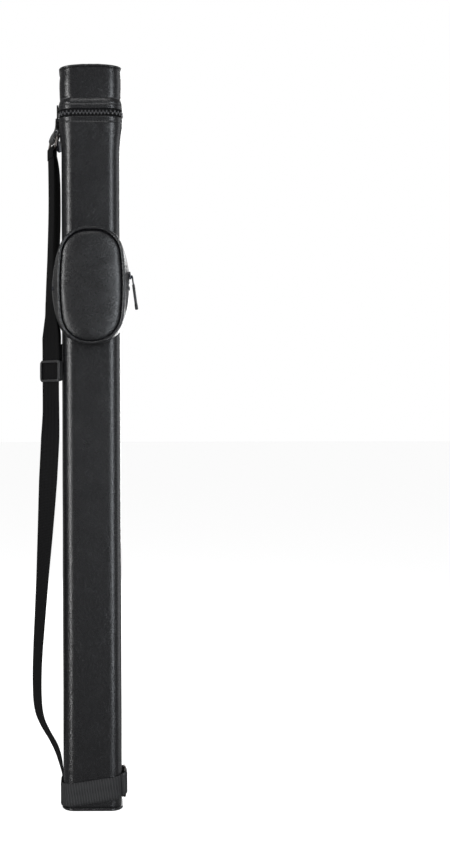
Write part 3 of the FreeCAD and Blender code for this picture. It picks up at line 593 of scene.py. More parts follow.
def corner_mask(s):
    """1 in the middle of each rounded corner and 0 on the flats, from the distance s round the section."""
    x = np.interp(s, ROUND, np.abs(OUTWARD[:, 0] * OUTWARD[:, 1]) * 2)
    return smooth_step(x)


def body_grow(z):
    """How far the outer face stands out at height z: straight, then a soft flare to the mouth."""
    flared = FLARE * smooth_step((z - 727.0) / 37.0) + 0.15 * smooth_step((z - 750) / 8)
    return flared - 0.6 * np.exp(-((z - BODY_STITCH_Z) / 0.75) ** 2)


def body_wobble(s, z):
    """Long soft waves, with shorter puckers under the stitched mouth."""
    waves = 0.075 * ripple(s, z, 11, 26.0) + 0.045 * ripple(s, z * 0.5, 12, 9.0)
    puckers = 0.10 * ripple(s * 1.4, z * 0.5, 13, 4.5) * np.exp(-((z - 748) / 14.0) ** 2)
    return waves + puckers


heights = np.concatenate([np.arange(1.4, 724, 4.6), np.arange(724, 756, 1.6),
                          np.arange(756, COVER_TOP - 0.4, 0.5)])
outer = np.stack([body_grow(heights), heights, np.ones_like(heights)], -1)
turned_edge = [(FLARE + 0.05, COVER_TOP - 0.3, 0), (FLARE - 0.2, COVER_TOP, 0), (FLARE - 0.9, COVER_TOP, 0),
               (FLARE - 1.0, COVER_TOP - 1.5, 0), (FLARE - 1.0, 762, 0), (-1.0, 729, 0), (-1.0, 1.4, 0)]
body_skin = sweep_round("tube_cover", np.vstack([outer, turned_edge]), leatherette, "case_body",
                        body_wobble)
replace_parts(body_skin, "body_cover")
print("tube cover", len(body_skin.data.polygons), "faces")

# %% [markdown]
# ## The cover of the lid
# The lid is a shorter box of the same section. Its cover is softer over the foam: it bellies a little between
# the top seam and the stitches, dents above the mouth at each corner, and flares out to meet the zip.

# %% Cover of the lid
LID_TOP = TOP_Z - 2.4


def lid_grow(z):
    """The lid's outer face: a slight belly, a waist above the mouth, and the flare to the zip."""
    belly = LID_GROW - 0.75 * smooth_step((z - 806) / 16.0) + 0.35 * np.exp(-((z - 803) / 9.0) ** 2)
    mouth = (FLARE - LID_GROW + 0.1) * (1 - smooth_step((z - 779.0) / 9.5))
    pinch = 0.6 * np.exp(-((z - LID_STITCH_Z) / 0.75) ** 2) + 0.3 * np.exp(-((z - 786.5) / 2.2) ** 2)
    return belly + mouth - pinch


def arch(x):
    """How far the lid's top edge droops towards both sides, at x across it."""
    return -1.5 * smooth_step((np.abs(x) - 6.0) / 25.0)


def lid_wobble(s, z):
    """Soft waves, a fuller top away from the strap side, and short level dents at the corners above the mouth."""
    waves = 0.13 * ripple(s, z, 21, 13.0) + 0.05 * ripple(s, z, 22, 5.0)
    away = smooth_step((np.interp(s, ROUND, OUTLINE[:, 0]) + 10) / 40)
    waves = waves + 0.45 * away * smooth_step((z - 806) / 14)
    dents = -0.42 * corner_mask(s) * np.exp(-((z - 787.2) / 1.7) ** 2)
    return waves + dents + 0.10 * ripple(s * 1.3, z * 0.6, 23, 4.0) * np.exp(-((z - 786) / 7.0) ** 2)


heights = np.concatenate([np.arange(LID_LOW + 0.3, 792, 0.5), np.arange(792, LID_TOP - 0.2, 1.5)])
outer = np.stack([lid_grow(heights), heights, smooth_step((LID_TOP - heights) / 3)], -1)
inside = [(lid_grow(LID_TOP), LID_TOP, 0), (LID_GROW - 1.3, LID_TOP, 0), (LID_GROW - 1.0, 790, 0),
          (FLARE - 1.0, 778, 0), (FLARE - 0.9, LID_LOW, 0), (FLARE - 0.1, LID_LOW, 0)]
lid_skin = sweep_round("lid_cover_skin", np.vstack([outer, inside]), leatherette, "lid",
                       lid_wobble, arch)
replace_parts(lid_skin, "lid_cover")


def disc(name, grow_edge, z_low, z_edge, rise, material, body):
    """A lid top: the section filled in rings, f from the rim (1) to the middle (0), z = edge + rise (1 - f^3)."""
    rings = np.array([1, 1, 0.995, 0.98, 0.94, 0.86, 0.72, 0.55, 0.36, 0.18])
    rim = OUTLINE + OUTWARD * grow_edge
    xy = rim[None] * rings[:, None, None]
    z = z_edge + rise * (1 - rings ** 3)
    z[0] = z_low
    z[1] = z_edge - 0.5
    dent = 0.12 * ripple(xy[..., 0], xy[..., 1], 31, 9.0) * (1 - rings[:, None] ** 6) + arch(xy[..., 0])
    points = np.concatenate([xy, (z[:, None] + dent)[..., None]], -1)
    return surface(name, points, material, body, size=(1, OUTLINE_LENGTH))


lid_top = disc("lid_top_skin", LID_GROW - 1.3, LID_TOP, TOP_Z - 0.9, 0.8, leatherette, "lid")
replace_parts(lid_top, "lid_top_panel")


def piping_round(name, grow, z, radius, body):
    """Covered cord sewn into a seam: a circle carried round the section, with small puckers from the stitches."""
    turn = full_turn(16)
    pucker = 1 + 0.035 * np.sin(ROUND * 2 * math.pi / 3.1) + 0.03 * ripple(ROUND, 0 * ROUND, 41, 5.0)
    ring = radius * pucker[:, None]
    out = grow + ring * np.cos(turn)
    xy = OUTLINE[:, None] + OUTWARD[:, None] * out[..., None]
    level = z + ring * np.sin(turn) + (arch(xy[..., 0]) if z > ZIP_Z else 0)
    points = np.concatenate([xy, level[..., None]], -1)
    return surface(name, points, leatherette, body, loop_rows=True,
                   size=(OUTLINE_LENGTH, 2 * math.pi * radius))


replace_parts(piping_round("lid_piping_cord", LID_GROW - 0.75, LID_TOP, 1.5, "lid"), "lid_piping")
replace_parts(piping_round("base_piping_cord", -0.2, 1.9, 1.5, "case_body"), "base_piping")
print("lid cover and piping made")

# %% [markdown]
# ## The zip
# Two tapes run round the mouth, one sewn to each half, each with a cord along its edge and a row of moulded
# teeth clamped on it. The teeth of one row sit in the gaps of the other. One small tooth is copied along both.

# %% Zip tapes and teeth
TAPE_IN, TAPE_OUT = 1.4, 2.15


def zip_tape_round(name, far, near, body, node):
    """A tape with its thicker corded edge, as a closed profile from its sewn edge (far) to its free edge."""
    up = math.copysign(1, near - far)
    profile = [(TAPE_IN, far), (TAPE_OUT, far), (TAPE_OUT, near - 2.2 * up), (TAPE_OUT + 0.45, near - 1.7 * up),
               (TAPE_OUT + 0.5, near - 1.0 * up), (TAPE_OUT + 0.2, near - 0.3 * up), (TAPE_IN, near)]
    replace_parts(sweep_round(name, profile, zip_tape, body), node)


zip_tape_round("zip_tape_low", 762.2, ZIP_Z - 0.35, "case_body", "zip_tape_lower")
zip_tape_round("zip_tape_high", 778.0, ZIP_Z + 0.35, "lid", "zip_tape_upper")


def tooth_shape():
    """A tooth in units of a millimetre: a rounded block, wider at its head. Rows along its height, z 0 to 1."""
    turn = full_turn(8)
    rows = []
    for z, wide, deep in ((0.0, 0.30, 0.34), (0.12, 0.42, 0.5), (0.55, 0.36, 0.5), (0.72, 0.5, 0.52),
                          (0.94, 0.46, 0.44), (1.0, 0.28, 0.26)):
        x = signed_power(np.cos(turn), 0.6) * wide
        y = signed_power(np.sin(turn), 0.6) * deep
        rows.append(np.stack([x, y, np.full(8, z)], -1))
    points = np.array(rows)
    faces = grid_faces(len(rows), 8, False, True)
    ends = np.array([[0, 3, 2, 1], [0, 5, 4, 3], [0, 7, 6, 5],
                     *[[40 + a for a in q] for q in ((0, 1, 2, 3), (0, 3, 4, 5), (0, 5, 6, 7))]])
    return points.reshape(-1, 3), np.vstack([faces, ends])


TOOTH, TOOTH_FACES = tooth_shape()


def round_frames(distance, grow, z):
    """For distances round the section: rows of (along, out, up, origin) at that grow and height."""
    known = np.append(ROUND, OUTLINE_LENGTH)
    place = interpolate(distance, known, np.vstack([OUTLINE, OUTLINE[:1]]).T)
    normal = interpolate(distance, known, np.vstack([OUTWARD, OUTWARD[:1]]).T)
    out = unit(np.hstack([normal, 0 * normal[:, :1]]))
    along = np.stack([-out[:, 1], out[:, 0], out[:, 2]], -1)
    up = np.tile([0.0, 0.0, 1.0], (len(out), 1))
    origin = np.hstack([place, np.full((len(out), 1), float(z))]) + out * grow
    return np.stack([along, out, up, origin], 1)


def off_tab(frames, half=11.6):
    """Leaves out the frames that the hinge tab covers, half its width and a little more to each side."""
    origin = frames[:, 3]
    return frames[~((origin[:, 0] < 0) & (np.abs(origin[:, 1]) < half))]


TOOTH_PITCH, TOOTH_GROW = 3.9, 2.75
TOOTH_WIDE, TOOTH_DEEP, TOOTH_TALL, TOOTH_OFF = 1.9, 1.7, 2.5, 2.3
tooth_count = int(round(OUTLINE_LENGTH / TOOTH_PITCH))
places = (np.arange(tooth_count) + 0.25) * OUTLINE_LENGTH / tooth_count
for name, shift, up, body, node in (("zip_teeth_low", 0.0, 1, "case_body", "zip_coil_lower"),
                                    ("zip_teeth_high", 0.5, -1, "lid", "zip_coil_upper")):
    at = (places + shift * TOOTH_PITCH) % OUTLINE_LENGTH
    frames = off_tab(round_frames(at, TOOTH_GROW, ZIP_Z - up * TOOTH_OFF))
    frames = sized(frames, [TOOTH_WIDE, TOOTH_DEEP, up * TOOTH_TALL])
    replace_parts(copies(name, TOOTH, TOOTH_FACES, frames, zip_teeth, body), node)
print("teeth", tooth_count, "in each row")

# %% [markdown]
# ## Stitches
# Each stitch is a short stretch of thick thread between two needle holes, sunk a little into the leatherette.
# One capsule is copied along every seam, with its length along the seam and its thickness out of the surface.


# %% Stitches
def stitch_shape(steps=6, sides=8):
    """A capsule about one unit long on x and one unit thick: radius sqrt(1 - (2x)^4) / 2, drawn in at both ends."""
    x = np.cos(np.linspace(math.pi * 0.94, math.pi * 0.06, steps)) / 2
    radius = 0.5 * (1 - (2 * x) ** 4) ** 0.5 + 0.02
    turn = full_turn(sides)
    points = np.stack([np.repeat(x[:, None], sides, 1), radius[:, None] * np.cos(turn),
                       radius[:, None] * np.sin(turn)], -1)
    last = (steps - 1) * sides
    ends = [[0, 3, 2, 1], [0, 5, 4, 3], [0, 7, 6, 5], [last, last + 1, last + 2, last + 3],
            [last, last + 3, last + 4, last + 5], [last, last + 5, last + 6, last + 7]]
    return points.reshape(-1, 3), np.vstack([grid_faces(steps, sides, False, True), ends])


STITCH, STITCH_FACES = stitch_shape()
STITCH_PITCH = 3.4


def sew(name, frames, body, length=2.5, thick=0.62):
    """Puts a stitch at each frame: its axes are along the seam, out of the surface, and across the seam."""
    frames = sized(frames, [length, thick * 0.7, thick])
    return copies(name, STITCH, STITCH_FACES, frames, thread, body)


def path_frames(path, normals, pitch=STITCH_PITCH):
    """Frames at equal steps along a path with given outward normals."""
    path, normals = np.asarray(path, float), np.asarray(normals, float)
    run = distance_along(path)
    at = np.arange(pitch / 2, run[-1], pitch)
    out = unit(interpolate(at, run, normals.T))
    along = unit(interpolate(at + 0.1, run, path.T) - interpolate(at - 0.1, run, path.T))
    return np.stack([along, out, np.cross(along, out), interpolate(at, run, path.T)], 1)


STITCH_OUT = 0.08
stitch_count = int(round(OUTLINE_LENGTH / STITCH_PITCH))
seam = OUTLINE_LENGTH * (np.arange(stitch_count) + 0.5) / stitch_count
for name, z, outer_face, body in (("mouth_stitches", BODY_STITCH_Z, body_grow, "case_body"),
                                  ("lid_stitches", LID_STITCH_Z, lid_grow, "lid")):
    grow = float(outer_face(np.array(z)))
    sew(name, off_tab(round_frames(seam, grow + STITCH_OUT, z)), body)
print("stitches", stitch_count, "in each row round the mouth")

# %% [markdown]
# ## The pouch's outline
# The pouch is an upright oval with a flat top and bottom, round corners and slightly bowed sides. Three such
# outlines, at its rear seam, its zip and its front seam, give its swelling side: the skin between two of them
# is ruled straight from one to the other. Each outline is its half width, top, bottom, side radius, and the
# radii of its top and bottom corners.

# %% Pouch outline
POUCH_MIDDLE = 577.0
REAR = (43.0, 635.0, 518.0, 115.0, 24.0, 26.0)
ZIP = (41.3, 637.5, 515.5, 130.0, 27.0, 28.0)
FRONT = (36.3, 639.3, 513.8, 300.0, 30.0, 33.0)
REAR_Y, ZIP_REAR_Y, ZIP_FRONT_Y, FRONT_Y = -25.5, -35.0, -45.0, -55.5
ZIP_LINE_Y = -40.0


def quarter(half, top, side, corner, shrink):
    """(x, z, normal x, normal z) from the side's middle to the top's middle, z measured from the middle."""
    half, top, side, corner = half - shrink, top - shrink, side - shrink, corner - shrink
    cx = half - side
    up = math.asin((top - corner) / (side - corner))
    mx = cx + (side - corner) * math.cos(up)
    a = np.linspace(0, up, 14)
    b = np.linspace(up, math.pi / 2, 14)[1:]
    arc_a = np.stack([cx + side * np.cos(a), side * np.sin(a), np.cos(a), np.sin(a)], -1)
    arc_b = np.stack([mx + corner * np.cos(b), top - corner + corner * np.sin(b), np.cos(b), np.sin(b)], -1)
    line = np.array([(mx * (1 - t), top, 0, 1) for t in (0.5, 1.0)])
    return np.vstack([arc_a, arc_b, line])


def oval(outline, shrink=0.0):
    """(points, normals) in x and z round an outline, from the right middle over the top, which comes first."""
    half, top, bottom, side, top_r, bottom_r = outline
    high = quarter(half, top - POUCH_MIDDLE, side, top_r, shrink)
    low = quarter(half, POUCH_MIDDLE - bottom, side, bottom_r, shrink)
    flip_x, flip_z = np.array([-1, 1, -1, 1]), np.array([1, -1, 1, -1])
    ring = np.vstack([high, (high * flip_x)[-2::-1], (low * flip_x * flip_z)[1:], (low * flip_z)[-2:0:-1]])
    return ring[:, :2] + [0, POUCH_MIDDLE], ring[:, 2:]


HALF_COUNT = len(oval(ZIP)[0]) // 2 + 1


def bend_at_fold(piece):
    """Bakes the piece's transform into its mesh; nothing bends it at the fold."""
    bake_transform(piece)


def oval_skin(name, stations, material, body, part="all", puff=None):
    """A closed profile of (outline, shrink, y) stations carried round the oval, or round its top or bottom half.

    A station's outline may be a pair with a share: (first, second, share) lies that far from one to the other.
    """
    rings = []
    for outline, shrink, y in stations:
        if len(outline) == 3:
            first, second, share = outline
            xz = oval(first, shrink)[0] * (1 - share) + oval(second, shrink)[0] * share
            normal = unit(oval(first, shrink)[1] * (1 - share) + oval(second, shrink)[1] * share)
        else:
            xz, normal = oval(outline, shrink)
        if puff is not None:
            xz = xz + normal * puff(xz, y, shrink)[:, None]
        rings.append(np.stack([xz[:, 0], np.full(len(xz), y), xz[:, 1]], -1))
    points = np.stack(rings, 1)
    if part == "all":
        return surface(name, points, material, body, loop_rows=True, size=(270, 40))
    chosen = points[:HALF_COUNT] if part == "top" else np.vstack([points[HALF_COUNT - 1:], points[:1]])
    return surface(name, chosen, material, body, size=(135, 40))


def side_stations(first, second, y0, y1, count=9, wall=1.15):
    """Outer stations from one outline to the next, then the inner ones back, as one closed profile."""
    share = np.linspace(0, 1, count)
    outer = [((first, second, s), 0.0, y0 + (y1 - y0) * s) for s in share]
    return outer + [((first, second, s), wall, y0 + (y1 - y0) * s) for s in share[::-1]]


def side_puff(xz, y, shrink):
    """The side's softness: a shallow belly and small waves on its outer face."""
    if shrink:
        return np.zeros(len(xz))
    return 0.16 * ripple(xz[:, 1] + xz[:, 0], xz[:, 1] * 0 + y, 51, 6.0)


rear_side = oval_skin("pouch_side_rear", side_stations(REAR, ZIP, REAR_Y, ZIP_REAR_Y), soft_leatherette,
                      "case_body", puff=side_puff)
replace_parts(rear_side, "pouch_gusset_rear")
front_side = oval_skin("pouch_side_front", side_stations(ZIP, FRONT, ZIP_FRONT_Y, FRONT_Y), soft_leatherette,
                       None, puff=side_puff)
bend_at_fold(front_side)
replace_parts(front_side, "pouch_gusset_front")
strip_stations = [(ZIP, 0, ZIP_REAR_Y), (ZIP, -0.1, -38), (ZIP, -0.1, -42), (ZIP, 0, ZIP_FRONT_Y),
                  (ZIP, 1.15, ZIP_FRONT_Y), (ZIP, 1.15, ZIP_REAR_Y)]
strip = oval_skin("pouch_side_low", strip_stations, soft_leatherette, "case_body", part="bottom")
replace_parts(strip, "pouch_gusset_lower")
for name, y_far, y_near, body, node in (("pouch_zip_cloth_rear", ZIP_REAR_Y, ZIP_LINE_Y + 0.2, "case_body",
                                         "pouch_tape_rear"),
                                        ("pouch_zip_cloth_front", ZIP_FRONT_Y, ZIP_LINE_Y - 0.2, "pouch_flap",
                                         "pouch_tape_front")):
    toward = math.copysign(1, y_near - y_far)
    tape = oval_skin(name, [(ZIP, 1.0, y_far), (ZIP, 0.35, y_far), (ZIP, 0.35, y_near - 1.9 * toward),
                            (ZIP, -0.05, y_near - 1.2 * toward), (ZIP, 0.0, y_near), (ZIP, 1.0, y_near)],
                     zip_tape, body, part="top")
    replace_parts(tape, node)
print("pouch sides made, half of the outline has", HALF_COUNT, "points")

# %% [markdown]
# ## The pouch's front
# The front is a panel of leatherette over foam, sewn into a piped seam. It is fullest in the middle, drawn in
# at the seam, and creased slightly where the pouch bends half way down. It is made as one closed padded form.

# %% Pouch front
def front_panel():
    """Rings from the seam (f = 1) to the middle (0), and a flat back.

    The front stands at y = seam - 1.9 (1 - f^2.4) - 2.7 (1 - f^13), with soft dents and two creases on it.
    """
    rim, _ = oval(FRONT, 2.7)
    centre = np.array([0, POUCH_MIDDLE])
    share = np.concatenate([np.linspace(1, 0.8, 15), np.linspace(0.8, 0.02, 26)[1:]])
    xz = centre + (rim - centre)[None] * share[:, None, None]
    swell = 1.9 * (1 - share[:, None] ** 2.4) + 2.7 * (1 - share[:, None] ** 13)
    fade = smooth_step((1 - share[:, None]) / 0.25)
    x, z = xz[..., 0], xz[..., 1] - POUCH_MIDDLE
    dents = 0.42 * ripple(x + 0.4 * z, z, 61, 15.0) + 0.14 * ripple(x, z, 62, 6.0)
    crease = -0.35 * np.exp(-((z + 0.28 * x + 4) / 2.6) ** 2) + 0.3 * np.exp(-((z - 0.35 * x - 17) / 4.0) ** 2)
    y = -55.7 - swell - fade * (dents * 0.8 + crease * 0.7)
    front = np.stack([xz[..., 0], y, xz[..., 1]], -1)
    back_share = np.linspace(0.02, 1, 12)
    back = centre + (rim - centre)[None] * back_share[:, None, None]
    back = np.stack([back[..., 0], np.full(back.shape[:2], -54.2), back[..., 1]], -1)
    return np.vstack([back, front])


panel = surface("pouch_front", front_panel(), soft_leatherette, None, size=(80, 230))
bend_at_fold(panel)
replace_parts(panel, "pouch_panel_upper", "pouch_panel_lower", "pouch_foam_upper", "pouch_foam_lower")


def pouch_piping():
    """The piped seam: a circle carried round the front outline, with a pucker at every stitch."""
    xz, normal = oval(FRONT, 0.85)
    run = distance_along(xz)
    radius = 1.8 * (1 + 0.04 * np.sin(run * 2 * math.pi / 3.2) + 0.03 * ripple(run, 0 * run, 63, 6.0))
    turn = full_turn(16)
    out, ahead = radius[:, None] * np.cos(turn), radius[:, None] * np.sin(turn)
    x = xz[:, :1] + normal[:, :1] * out
    z = xz[:, 1:] + normal[:, 1:] * out
    return np.stack([x, -57.1 + ahead, z], -1)


seam_cord = surface("pouch_seam_cord", pouch_piping(), leatherette, None, loop_rows=True,
                    size=(250, 10))
bend_at_fold(seam_cord)
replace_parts(seam_cord, "pouch_piping_upper", "pouch_piping_lower")

# %% [markdown]
# The pouch's zip has the same teeth as the lid's, on its upper half only. Its two rows meet on the zip's line,
# and each tooth points from its own tape towards the other.

# %% Pouch zip teeth
xz, normal = oval(ZIP, 0.2)
xz, normal = xz[:HALF_COUNT], normal[:HALF_COUNT]
run = distance_along(xz)
POUCH_PITCH = 2.6
for name, shift, way, body, node in (("pouch_teeth_rear", 0.0, -1, "case_body", "pouch_coil_rear"),
                                     ("pouch_teeth_front", 0.5, 1, "pouch_flap", "pouch_coil_front")):
    at = np.arange(3.0 + shift * POUCH_PITCH, run[-1] - 2.5, POUCH_PITCH)
    point = interpolate(at, run, (xz[:, 0], 0 * run + ZIP_LINE_Y - 2.2 * way, xz[:, 1]))
    out = unit(interpolate(at, run, (normal[:, 0], 0 * run, normal[:, 1])))
    toward = np.tile([0.0, float(way), 0.0], (len(at), 1))
    frames = sized(np.stack([np.cross(out, toward), out, toward, point + out * 0.45], 1), [1.35, 1.25, 2.7])
    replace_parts(copies(name, TOOTH, TOOTH_FACES, frames, zip_teeth, body), node)
print("pouch teeth", len(at), "in each row")

# %% [markdown]
# ## The pouch's band
# A strip of leatherette 44 mm tall goes round the back of the tube and is sewn to the pouch's rear seam on both
# sides. It lies on the tube, leaves it at the front corners and spreads to the pouch's edges, and it has a row
# of stitches near its top and bottom edges.


# %% Band
def band_plan(grow, steps=26):
    """(x, y) and normals along the band, from the +X end round the back to the -X end."""
    end_x, end_y, turn_y = REAR[0] - 2.0 + grow, -24.35, -5.0
    side = np.array([(end_x, end_y), (SIDE_X + grow, turn_y), (SIDE_X + grow, CENTRE_Y)])
    t = np.linspace(0, 1, steps)[:, None]
    flare = side[0] * (1 - t) + side[1] * t
    flat = side[1] * (1 - t[1:]) + side[2] * t[1:]
    a = np.radians(np.linspace(0, 90, steps))[1:, None]
    arc = np.array([CENTRE_X, CENTRE_Y]) + (CORNER + grow) * np.hstack([np.cos(a), np.sin(a)])
    back = np.array([[CENTRE_X * (1 - s), FACE_Y + grow] for s in np.linspace(0, 1, steps)[1:]])
    right = np.vstack([flare, flat, arc, back])
    whole = np.vstack([right, (right * [-1, 1])[-2::-1]])
    along = unit(np.gradient(whole, axis=0))
    return whole, np.stack([along[:, 1], -along[:, 0]], -1)


def tuck(points):
    """Band points drawn in near its two ends by (z - middle)^2 / 230, as the pouch's rear seam curves away."""
    share = np.clip((-5.0 - points[..., 1]) / 19.35, 0, 1)
    drawn = np.sign(points[..., 0]) * share * (points[..., 2] - POUCH_MIDDLE) ** 2 / 230.0
    return points - np.stack([drawn, 0 * drawn, 0 * drawn], -1)


BAND_LOW, BAND_HIGH, BAND_THICKNESS = 551.0, 595.0, 1.25
BAND_GAP, STITCH_ROW = 0.2, 14.5
plan, plan_normal = band_plan(BAND_GAP + 0.6)
strip_section = webbing_section(BAND_HIGH - BAND_LOW, BAND_THICKNESS, steps=46)
upright, outward = strip_section[:, 0], strip_section[:, 1]
outward = outward - np.sign(outward) * 0.28 * np.exp(-((np.abs(upright) - STITCH_ROW) / 0.9) ** 2)
waves = 0.10 * ripple(np.arange(len(plan))[:, None] * 1.6, upright[None], 71, 8.0) * (outward[None] > 0)
band_xy = plan[:, None] + plan_normal[:, None] * (outward[None] + waves)[..., None]
band_z = np.broadcast_to((BAND_LOW + BAND_HIGH) / 2 + upright, band_xy.shape[:2])
band_points = np.concatenate([band_xy, band_z[..., None]], -1)
band = surface("pouch_band_skin", tuck(band_points), leatherette, "case_body", size=(160, 90))
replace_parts(band, "pouch_band")
outer_plan, outer_normal = band_plan(BAND_GAP + 1.18)
column = np.ones((len(outer_plan), 1))
for name, up in (("band_stitches_high", 1), ("band_stitches_low", -1)):
    row = (BAND_LOW + BAND_HIGH) / 2 + up * STITCH_ROW
    path = tuck(np.hstack([outer_plan, column * row]))
    sew(name, path_frames(path, np.hstack([outer_normal, 0 * column])), "case_body")
print("band round the tube", round(float(path_length(plan))), "mm long")

# %% [markdown]
# ## The hinge tab and its loop
# One strip of leatherette joins the lid to the body on the strap side. It is made as one piece across the
# parting line. Below it a doubled strip goes round the ring's top bar and comes back against the body. The bar
# is turned a little about the upright, and so is the loop's lower end.

# %% Hinge tab
RING_TURN = math.radians(16.0)
TOP_BAR = np.array([-41.0, 0.0, 747.0])
TURNED_OUT = np.array([math.cos(RING_TURN), math.sin(RING_TURN), 0.0])
TURNED_ACROSS = np.array([-math.sin(RING_TURN), math.cos(RING_TURN), 0.0])
BOTTOM_BAR = TOP_BAR - 2.2 * TURNED_OUT + [0, 0, -11.8]
TAB_WIDTH = 22.0
TAB_X = -(SIDE_X + FLARE) - 1.0


def straight(a, b, count):
    """Evenly spaced points from a to b."""
    return np.linspace(a, b, count)


def arc_points(centre, u, v, radius, first, last, count=13):
    """Points on a circle: centre + radius (u cos + v sin), from the first to the last angle in degrees."""
    angle = np.radians(np.linspace(first, last, count))[:, None]
    return np.asarray(centre) + radius * (np.asarray(u) * np.cos(angle) + np.asarray(v) * np.sin(angle))


UP = np.array([0.0, 0.0, 1.0])
Y_AXIS = np.array([0.0, 1.0, 0.0])
tab_path = np.vstack([straight((TAB_X, 0, 782.3), (TAB_X, 0, 776), 8),
                      straight((TAB_X, 0, 775.4), (TAB_X, 0, 766), 24),
                      straight((TAB_X, 0, 765.4), (TAB_X + 0.1, 0, 757.5), 8)])
tab, _ = ribbon("hinge_tab", tab_path, np.tile(Y_AXIS, (len(tab_path), 1)), leatherette, None,
                width=TAB_WIDTH, thickness=1.7)
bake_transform(tab)
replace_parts(tab, "hinge_tab_upper")

loop_path = np.vstack([
    straight((TAB_X - 1.2, 0, 767.5), (TAB_X - 1.5, 0, 762), 4),
    straight((TAB_X - 1.8, 0, 760), TOP_BAR - TURNED_OUT * 2.7 - UP * 0.7, 10),
    arc_points(TOP_BAR - UP * 1.3, -TURNED_OUT, -UP, 2.7, 0, 180),
    straight(TOP_BAR + TURNED_OUT * 2.7 - UP * 0.7, (TAB_X + 1.6, 0, 757.5), 10)])
turn = smooth_step((762 - loop_path[:, 2:]) / 12)
loop_across = unit(Y_AXIS * (1 - turn) + TURNED_ACROSS * turn)
tab_loop, _ = ribbon("tab_loop", loop_path, loop_across, leatherette, "case_body",
                     width=TAB_WIDTH, thickness=1.9)
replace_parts(tab_loop, "hinge_tab_lower")
rows = []
for y in (-8.6, 8.6):
    path = straight((TAB_X - 1.9, y, 767.0), (TAB_X - 2.0, y, 761.5), 5)
    rows.append(path_frames(path, np.tile([-1.0, 0, 0], (5, 1)), 2.8))
path = np.array([(TAB_X - 2.0, y, 761.2) for y in np.linspace(-8.6, 8.6, 9)])
rows.append(path_frames(path, np.tile([-1.0, 0, 0], (9, 1)), 2.9))
sew("tab_stitches", np.vstack(rows), "case_body", length=2.1)
print("tab and loop made")

# %% [markdown]
# ## The webbing round the ring and the buckle
# The strap's end is folded over the ring's bottom bar, and a second fold holds the buckle's centre bar. Both are
# the same webbing bent into a narrow U, and the buckle's fold has a box of stitches where its two layers meet.

# %% Webbing loops
def fold_over(bar, out, up, gap, leg, count):
    """A narrow U over a bar: up one side at a gap from it, half a circle round it, and down the other side."""
    near, far = bar - out * gap, bar + out * gap
    return np.vstack([straight(near - up * leg, near, count)[:-1], arc_points(bar, -out, up, gap, 0, 180),
                      straight(far, far - up * leg, count)[1:]])


ring_fold = fold_over(BOTTOM_BAR, TURNED_OUT, UP, 1.6 + STRAP_THICKNESS / 2, 10.8, 8)
fold, _ = ribbon("ring_fold", ring_fold, np.tile(TURNED_ACROSS, (len(ring_fold), 1)), webbing, "ring")
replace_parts(fold, "strap_top_loop")

BUCKLE_TURN = math.radians(49.0)
BUCKLE_OUT = np.array([math.cos(BUCKLE_TURN), math.sin(BUCKLE_TURN), 0.0])
BUCKLE_ACROSS = np.array([-math.sin(BUCKLE_TURN), math.cos(BUCKLE_TURN), 0.0])
STRAP_AT = np.array([-45.2, -12.0, 486.0])
CENTRE_BAR = STRAP_AT + BUCKLE_OUT * 3.65
BAR_GAP = 1.95
sewn = fold_over(CENTRE_BAR, BUCKLE_OUT, -UP, BAR_GAP, 30.0, 12)
sewn_end, _ = ribbon("sewn_end", sewn, np.tile(BUCKLE_ACROSS, (len(sewn), 1)), webbing, "adjuster",
                     thickness=1.05)
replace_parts(sewn_end, "strap_sewn_end")
face = CENTRE_BAR + BUCKLE_OUT * (BAR_GAP + 0.62)
box = [((-10.5, 12.0), (10.5, 12.0), 9), ((-10.5, 26.0), (10.5, 26.0), 9),
       ((-10.5, 12.0), (-10.5, 26.0), 7), ((10.5, 12.0), (10.5, 26.0), 7)]
rows = []
for first, last, count in box:
    path = face + straight(first, last, count) @ np.stack([BUCKLE_ACROSS, UP])
    rows.append(path_frames(path, np.tile(BUCKLE_OUT, (count, 1)), 2.6))
sew("sewn_end_stitches", np.vstack(rows), "adjuster", length=2.0)

# %% [markdown]
# ## The slide buckle
# A moulded frame with a bar across its middle. The frame's section is a rounded rectangle carried round a
# rounded-rectangle path, which gives every edge the soft radius of a moulding. The webbing lies behind its two
# outer bars and the sewn end holds its middle bar.


# %% Buckle
def frame_ring(centre, across, up, out, half_w, half_h, corner, wide, deep, power=0.45, count=12):
    """A moulded ring: a superellipse section (|cos|^power, |sin|^power) carried round a rounded rectangle."""
    path, sides = [], []
    for k, (sx, sy) in enumerate(((1, 1), (-1, 1), (-1, -1), (1, -1))):
        angle = np.radians(90 * k + np.linspace(0, 90, count))
        radial = np.stack([np.cos(angle), np.sin(angle)], -1)
        path.append(np.array([sx * (half_w - corner), sy * (half_h - corner)]) + corner * radial)
        sides.append(radial)
    path, sides = np.vstack(path), np.vstack(sides)
    turn = full_turn(20)
    a = signed_power(np.cos(turn), power) * wide / 2
    b = signed_power(np.sin(turn), power) * deep / 2
    plane = path[:, None] + sides[:, None] * a[None, :, None]
    return centre + plane[..., :1] * across + plane[..., 1:] * up + b[None, :, None] * out


def rounded_block(name, centre, axes, half, material, body, power=0.35, rows=17, cols=28):
    """A superellipsoid: each axis is a power of cosines and sines, which rounds a box's edges and corners."""
    v, u = np.linspace(-math.pi / 2, math.pi / 2, rows)[:, None], full_turn(cols)
    x = signed_power(np.cos(v), power) * signed_power(np.cos(u), power)
    y = signed_power(np.cos(v), power) * signed_power(np.sin(u), power)
    z = np.repeat(signed_power(np.sin(v), power), cols, 1)
    local = np.stack([x, y, z], -1) * half
    points = np.asarray(centre) + local @ np.asarray(axes, float)
    return surface(name, points[1:-1], material, body)


